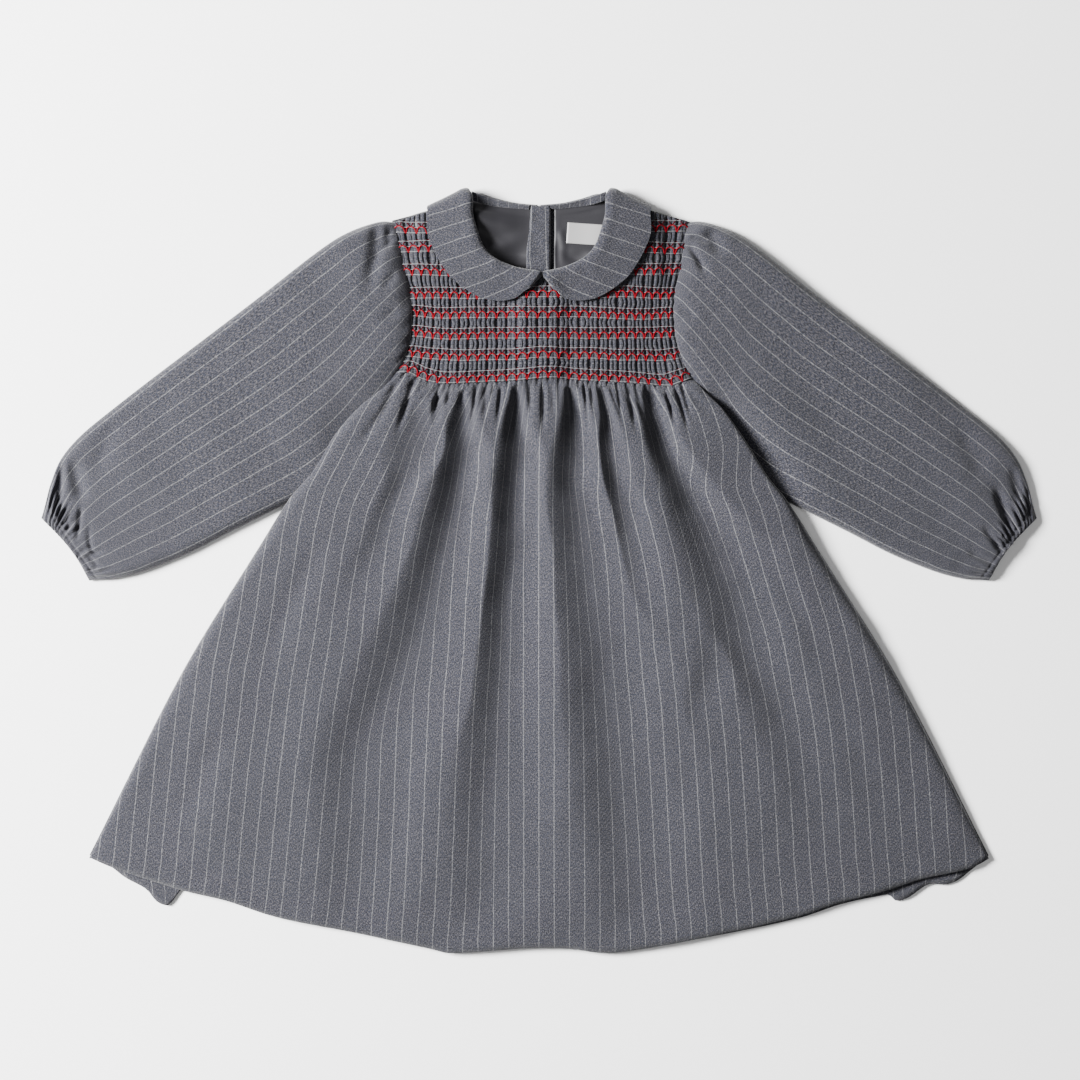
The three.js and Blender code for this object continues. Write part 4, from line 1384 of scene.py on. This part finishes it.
@dataclass(frozen=True)
class CollarSizes:
    """Driving sizes of a collar leaf."""

    ply: float = 1.5
    columns: int = 44
    rows: int = 170
    clearance: float = 1.2
    seam_roll: float = 2.6


@dataclass
class CollarLeaf:
    """One leaf of the rounded flat collar, which turns over the shoulder and runs on under the back."""

    side: Side
    sizes: CollarSizes
    smocking: Smocking
    wardrobe: Wardrobe

    def under(self, x: float, y: float) -> float:
        """Gives the height of the smocking's crests below the leaf."""
        y = min(y, 262.0)
        s = np.array([np.clip(x / float(SIDE_HALF(y)), -0.94, 0.94)])
        seat = self.smocking.seat(s, np.array([x]), np.array([y]))
        return float(seat[0]) + self.smocking.sizes.height_at_band

    def line(self, row: CollarRow) -> np.ndarray:
        """Gives the middle surface's points along one row, seven of them."""
        sizes = self.sizes
        along = np.array([row.out_x - row.in_x, row.out_y - row.in_y])
        length = float(np.hypot(*along))
        along = along / length
        small = min(1.0, length / 14)
        angle = math.radians(row.turn)
        below = (1 - math.cos(angle)) / 2
        rolls = row.turn > 0 or row.in_y > 273
        outward = np.array([-along[1], along[0]])
        outward = outward if outward[1] > 0 else -outward
        floor_leaf = sizes.ply / 2
        profile = (
            (mix(2.0, 2.6, below) * small, mix(-0.4, -3.4, below)),
            (0.5 * small, mix(0.6, -2.4, below) * small),
            (1.0 * small, mix(2.0, -0.8, below) * small),
            (4.2 * small, mix(sizes.seam_roll, 0.0, below) * small),
            (mix(10.0, 8.0, below) * small, mix(1.8, 0.0, below) * small),
            (length * 0.62, 0.8 * (1 - below) * small),
            (length, 0.0),
        )
        points = []
        for far, high in profile:
            flat = np.array([row.in_x, row.in_y]) + along * far
            top = self.under(float(flat[0]), float(flat[1])) + sizes.clearance + sizes.ply / 2
            if row.turn == 180 and row.in_y < 273:
                points.append((flat[0], flat[1], floor_leaf - high))
                continue
            radius = (top - floor_leaf) / 2 if rolls else 0.0
            centre = flat - outward * radius
            middle = (top + floor_leaf) / 2 if rolls else top
            arm = radius + high
            spot = centre + outward * arm * math.sin(angle)
            points.append((spot[0], spot[1], middle + arm * math.cos(angle)))
        return np.array(points)

    def build(self) -> None:
        """Makes the leaf as two plies, with its edge rounded over the seam inside."""
        sizes = self.sizes
        coarse = np.stack([self.line(row) for row in COLLAR_ROWS])
        count = len(COLLAR_ROWS)
        name = self.side.name.lower()
        cloth = Cloth(f"collar_{name}", sizes.columns, sizes.rows)
        sign = self.side.value
        over = np.sin(cloth.outward(self.side) * math.pi / 2) ** 0.9
        turn_at = np.arange(count) / (count - 1)
        place = np.linspace(0, 1, sizes.rows + 1)
        along_rows = np.stack(
            [[Profile(turn_at, coarse[:, column, axis])(place) for axis in range(3)] for column in range(7)]
        )
        steps = np.linspace(0, 1, 7)
        point = np.empty((sizes.rows + 1, sizes.columns + 1, 3))
        for row in range(sizes.rows + 1):
            for axis in range(3):
                point[row, :, axis] = Profile(steps, along_rows[:, axis, row])(over[row])
        x, y, z = sign * point[..., 0], point[..., 1], point[..., 2]
        front = 1 - smooth(0.5, 0.58, cloth.down)
        x = x + 2.2 * np.exp(-(((x - 1.0) / 16) ** 2)) * front
        soft = 0.5 * waviness(x, y, 34.0, 50 + sign) + 0.15 * waviness(x, y, 12.0, 53 + sign)
        z = z + soft * front * (1 - over**4)
        z = np.maximum(z, sizes.ply + 0.02)
        away = np.abs(x)
        u = 0.93 * (y + 0.28 * away - 12.1 * np.exp(-away / 22)) - 3.8
        cloth.shape(x, y, z, u, x)
        cloth.thicken(sizes.ply)
        dressed(cloth.piece, self.wardrobe.wool, "wool", f"collar_{name}")


# The inside of the neck and the back


LINING_CREASES = {
    Side.LEFT: creased(
        (-56, 264, -28, 257.4, 2, 255, 1, 0.8), (-52, 258, -34, 250, -8, 247, -2.2, 5),
        (-46, 250, -36, 239, -24, 228, 1.4, 3.6), (-40, 228, -25, 235, -4, 240, -1.9, 4.4),
        (-36, 222, -22, 227.5, -2, 226, 1.3, 3.4), (-24, 214, -14, 220, 0, 222, -1.4, 3.4),
    ),
    Side.RIGHT: creased(
        (-2, 254, 30, 256.6, 60, 267, 1, 0.8), (12, 238, 20, 228, 34, 220, 1.2, 3.2),
        (14, 246, 17, 236, 16, 216, -1.2, 2.6),
    ),
}


@dataclass(frozen=True)
class BackLayer:
    """A layer of the back yoke.

    Its face lies at a height above what lifts the back. It stays inside the yoke's outline by its inset,
    rises at the neck under the binding, and its soft folds have a height of their own.
    """

    face: float
    thickness: float
    inset: float = 0.0
    rise: float = 0.0
    folds: float = 0.0


YOKE_LAYER = BackLayer(face=1.2, thickness=1.2)
LINING_LAYER = BackLayer(face=2.6, thickness=0.8, inset=1.0, rise=2.4, folds=1.5)


@dataclass(frozen=True)
class NeckSizes:
    """Driving sizes of what shows in the neck opening."""

    columns: int = 68
    rows: int = 78
    centre: float = 0.5
    seam: float = 0.4
    top_of_lining: float = 3.0
    stand_half: float = 7.2
    stand_thickness: float = 1.1
    stand_height: float = 1.7
    stand_low_y: float = 142.5
    behind_stand: float = 10.0
    binding_thickness: float = 0.8
    binding_height: float = 2.6
    label_x: float = 36.5
    label_y: float = 242.0
    label_width: float = 33.0
    label_height: float = 15.0
    label_tilt: float = -4.0
    label_thickness: float = 0.7


@dataclass
class NeckInside:
    """What shows in the neck opening: back yokes, lining, binding, button stand and blank label."""

    sizes: NeckSizes
    wardrobe: Wardrobe

    def half_back(self, name: str, side: Side, layer: BackLayer) -> Cloth:
        """Makes one half of a layer of the back yoke.

        Args:
            name: The piece's name.
            side: Which half.
            layer: The layer's sizes.

        Returns:
            The finished cloth.
        """
        sizes = self.sizes
        cloth = Cloth(name, sizes.columns, sizes.rows)
        toward = cloth.outward(side)
        hidden = sizes.behind_stand if layer.folds and side is Side.RIGHT else 0.0
        near = side.value * sizes.centre + 0.5 + hidden
        margin = sizes.seam + layer.inset
        y = np.full(cloth.down.shape, SHOULDER_Y)
        for _ in range(12):
            x = mix(near, SIDE_HALF(y) - margin, toward)
            half = np.abs(x)
            top = np.where(half < NECK_HALF, BACK_NECK(np.minimum(half, NECK_HALF)), shoulder(half))
            y = mix(top - margin + layer.rise, SKIRT_TOP_Y + layer.inset, cloth.down)
        x = x * side.value
        z = back_lift(x, y) + layer.face
        inside = rounded(np.minimum(toward, 1 - toward) * 96, 8.0) * rounded(cloth.down * 110, 10.0)
        beside_label = 1 - smooth(10, 16, x) * smooth(227, 232, y)
        ripple = 0.4 + waviness(x, y * 0.6, 30.0, 60 + side.value)
        z = z + layer.folds * inside * beside_label * smooth(205, 216, y) * ripple
        drawn_up = smooth(-14, -40, x) * (1 - smooth(44, 50, -x))
        drawn_up = drawn_up * smooth(214, 226, y) * (1 - smooth(256, 263, y))
        creases = pressed(x, y, LINING_CREASES[side])
        z = z + min(layer.folds, 1.0) * (3.0 * drawn_up - 0.7 * creases)
        cloth.shape(x, y, z, x * 1.02, SEAM_Y - y)
        cloth.thicken(layer.thickness)
        return cloth

    def binding(self, side: Side) -> None:
        """Makes the striped strip that binds the back neck."""
        name = side.name.lower()
        cloth = Cloth(f"neck_binding_{name}", 120, 16)
        sizes = self.sizes
        near = sizes.stand_half + side.value * sizes.centre + sizes.seam
        x = mix(near, NECK_HALF - 3, cloth.outward(side))
        width = mix(3.2, 6.4, smooth(10, 46, x))
        y = COLLAR_TOP(x) - width * cloth.down
        z = back_lift(x, y) + sizes.top_of_lining
        z += sizes.binding_height * (1 - cloth.down) * rounded(cloth.down * width, 1.0)
        z += 3.6 * smooth(32, 46, x)
        cloth.shape(side.value * x, y, z, side.value * x * 1.5, -y)
        cloth.thicken(sizes.binding_thickness)
        dressed(cloth.piece, self.wardrobe.wool, "wool", f"neck_binding_{name}")

    def stand(self) -> None:
        """Makes the striped button stand."""
        sizes = self.sizes
        cloth = Cloth("button_stand", 32, 120)
        lean = -3.2 * (1 - smooth(222, 262, 140 + 122 * (1 - cloth.down)))
        x = sizes.centre + 0.7 + (cloth.across * 2 - 1) * sizes.stand_half
        top = COLLAR_TOP(np.abs(x)) - 0.3
        y = mix(top, sizes.stand_low_y, cloth.down)
        edge = np.minimum(cloth.across, 1 - cloth.across) * 2 * sizes.stand_half
        z = back_lift(x, y) + sizes.top_of_lining + sizes.stand_height * rounded(edge, 1.6)
        z += 0.25 * waviness(x * 2, y, 14.0, 71)
        z -= pressed(x, y, [Crease((-8.0, 245.0), (-1.5, 243.5), (4.0, 241.0), 0.8, 1.4)])
        cloth.shape(x + lean * (1 - cloth.across), y, z, 1.13 * x + 0.05 * (y - 230) + 4.6, SEAM_Y - y)
        cloth.thicken(sizes.stand_thickness)
        dressed(cloth.piece, self.wardrobe.wool, "wool", "button_stand")

    def label(self) -> None:
        """Makes the blank woven label, a little askew."""
        sizes = self.sizes
        cloth = Cloth("neck_label", 40, 22)
        wide, high = sizes.label_width, sizes.label_height
        tilt = math.radians(sizes.label_tilt)
        across = (cloth.across - 0.5) * wide
        down = (0.5 - cloth.down) * high
        x = sizes.label_x + across * math.cos(tilt) - down * math.sin(tilt)
        y = sizes.label_y + across * math.sin(tilt) + down * math.cos(tilt)
        edge = np.minimum.reduce([cloth.down * high, (1 - cloth.down) * high, cloth.across * wide])
        z = back_lift(x, y) + sizes.top_of_lining + 0.9 + 0.25 * rounded(edge, 1.2)
        z += 0.2 * np.sin(across / 4.5)
        cloth.shape(x, y, z, across, down)
        cloth.thicken(sizes.label_thickness)
        dressed(cloth.piece, self.wardrobe.label, "label", "neck_label")

    def build(self) -> None:
        """Makes every layer."""
        for side in Side:
            name = side.name.lower()
            yoke = self.half_back(f"back_yoke_{name}", side, YOKE_LAYER)
            dressed(yoke.piece, self.wardrobe.wool, "wool", f"back_yoke_{name}")
            lining = self.half_back(f"back_lining_{name}", side, LINING_LAYER)
            dressed(lining.piece, self.wardrobe.lining, "lining", f"back_lining_{name}")
            self.binding(side)
        self.stand()
        self.label()


@dataclass(frozen=True)
class ButtonSizes:
    """Driving sizes of a back button."""

    radius: float = 5.5
    thickness: float = 2.2
    first_y: float = 206.0
    pitch: float = 30.0
    count: int = 3
    rim_width: float = 0.45
    hole_radius: float = 0.7
    hole_offset: float = 1.3


@dataclass
class Buttons:
    """The three buttons of the back closing, face down on the surface."""

    sizes: ButtonSizes
    wardrobe: Wardrobe

    def build(self) -> None:
        """Makes each button as a disc with a bevelled rim and four holes."""
        sizes = self.sizes
        for index in range(sizes.count):
            centre = (0.5 * MM, (sizes.first_y - index * sizes.pitch) * MM, sizes.thickness / 2 * MM)
            bpy.ops.object.select_all(action="DESELECT")
            bpy.ops.mesh.primitive_cylinder_add(
                vertices=48, radius=sizes.radius * MM, depth=sizes.thickness * MM, location=centre
            )
            piece = bpy.context.object
            piece.name = f"button_{index + 1}"
            bpy.ops.object.transform_apply(location=True, rotation=False, scale=False)
            rim = piece.modifiers.new("rim", "BEVEL")
            rim.width = sizes.rim_width * MM
            rim.segments = 3
            bpy.ops.object.modifier_apply(modifier=rim.name)
            self.pierce(piece, centre)
            bpy.ops.object.shade_smooth_by_angle(angle=math.radians(40))
            dressed(piece, self.wardrobe.button, "button", f"button_{index + 1}")

    def pierce(self, piece: bpy.types.Object, centre: Place) -> None:
        """Cuts the four sewing holes."""
        sizes = self.sizes
        for corner in range(4):
            angle = math.radians(45 + 90 * corner)
            x = centre[0] + sizes.hole_offset * math.cos(angle) * MM
            y = centre[1] + sizes.hole_offset * math.sin(angle) * MM
            bpy.ops.object.select_all(action="DESELECT")
            depth = 4 * sizes.thickness * MM
            bpy.ops.mesh.primitive_cylinder_add(
                vertices=16, radius=sizes.hole_radius * MM, depth=depth, location=(x, y, centre[2])
            )
            drill = bpy.context.object
            hole = piece.modifiers.new("hole", "BOOLEAN")
            hole.operation = "DIFFERENCE"
            hole.solver = "EXACT"
            hole.object = drill
            bpy.context.view_layer.objects.active = piece
            bpy.ops.object.modifier_apply(modifier=hole.name)
            bpy.data.objects.remove(drill)
        piece.select_set(True)


# Studio


@dataclass(frozen=True)
class StudioSizes:
    """Where the camera and the lights stand, in metres, and the lights' powers in watts."""

    frame_width: float = 0.7776
    centre_x: float = 0.0007
    centre_y: float = 0.0227
    lens: float = 85.0
    sensor: float = 36.0
    floor_half: float = 6.0
    floor_z: float = -0.0004
    key_place: Place = (-2.0, 0.42, 1.32)
    key_size: float = 0.78
    key_power: float = 440.0
    fill_place: Place = (0.6, -0.6, 3.0)
    fill_size: float = 3.0
    fill_power: float = 22.0
    surroundings: float = 0.18


@dataclass
class Studio:
    """A pale floor, a soft key light from the left, a weak fill and a camera straight above."""

    sizes: StudioSizes

    def floor(self) -> None:
        """Makes the pale floor."""
        bpy.ops.object.select_all(action="DESELECT")
        sizes = self.sizes
        bpy.ops.mesh.primitive_plane_add(size=2 * sizes.floor_half, location=(0, 0, sizes.floor_z))
        floor = bpy.context.object
        floor.name = "floor"
        material, _, shader = new_material("pale floor")
        fill(shader, {"Base Color": (0.95, 0.95, 0.95, 1.0), "Roughness": 0.9})
        floor.data.materials.append(material)

    def lamp(self, name: str, place: Place, size: float, power: float) -> None:
        """Hangs a square soft light that faces the dress."""
        bpy.ops.object.light_add(type="AREA", location=place)
        light = bpy.context.object
        light.name = name
        light.data.shape = "SQUARE"
        light.data.size = size
        light.data.energy = power
        aim = Vector((0.0, 0.0, 0.0)) - Vector(place)
        light.rotation_euler = aim.to_track_quat("-Z", "Y").to_euler()

    def build(self) -> None:
        """Sets up the floor, the lights, the surroundings and the camera."""
        sizes = self.sizes
        self.floor()
        self.lamp("key", sizes.key_place, sizes.key_size, sizes.key_power)
        self.lamp("fill", sizes.fill_place, sizes.fill_size, sizes.fill_power)
        world = bpy.data.worlds.new("studio")
        world.use_nodes = True
        background = world.node_tree.nodes["Background"]
        fill(background, {"Color": (1.0, 1.0, 1.0, 1.0), "Strength": sizes.surroundings})
        bpy.context.scene.world = world
        distance = sizes.frame_width * sizes.lens / sizes.sensor
        bpy.ops.object.camera_add(location=(sizes.centre_x, sizes.centre_y, distance), rotation=(0, 0, 0))
        camera = bpy.context.object
        camera.name = "camera"
        camera.data.lens = sizes.lens
        camera.data.sensor_width = sizes.sensor
        camera.data.clip_start = 0.01
        bpy.context.scene.camera = camera


def main() -> None:
    """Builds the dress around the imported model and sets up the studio."""
    logging.basicConfig(level=logging.INFO, format="%(name)s: %(message)s")
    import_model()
    wardrobe = Wardrobe.made()
    smocking = Smocking(SmockingSizes(), wardrobe)
    smocking.build()
    Skirt(SkirtSizes(), smocking, wardrobe).build()
    BackSkirt(BackSkirtSizes(), wardrobe).build()
    for side in Side:
        Sleeve(side, SleeveSizes(), wardrobe).build()
        CollarLeaf(side, CollarSizes(), smocking, wardrobe).build()
    NeckInside(NeckSizes(), wardrobe).build()
    Buttons(ButtonSizes(), wardrobe).build()
    Studio(StudioSizes()).build()


if __name__ == "__main__":
    main()
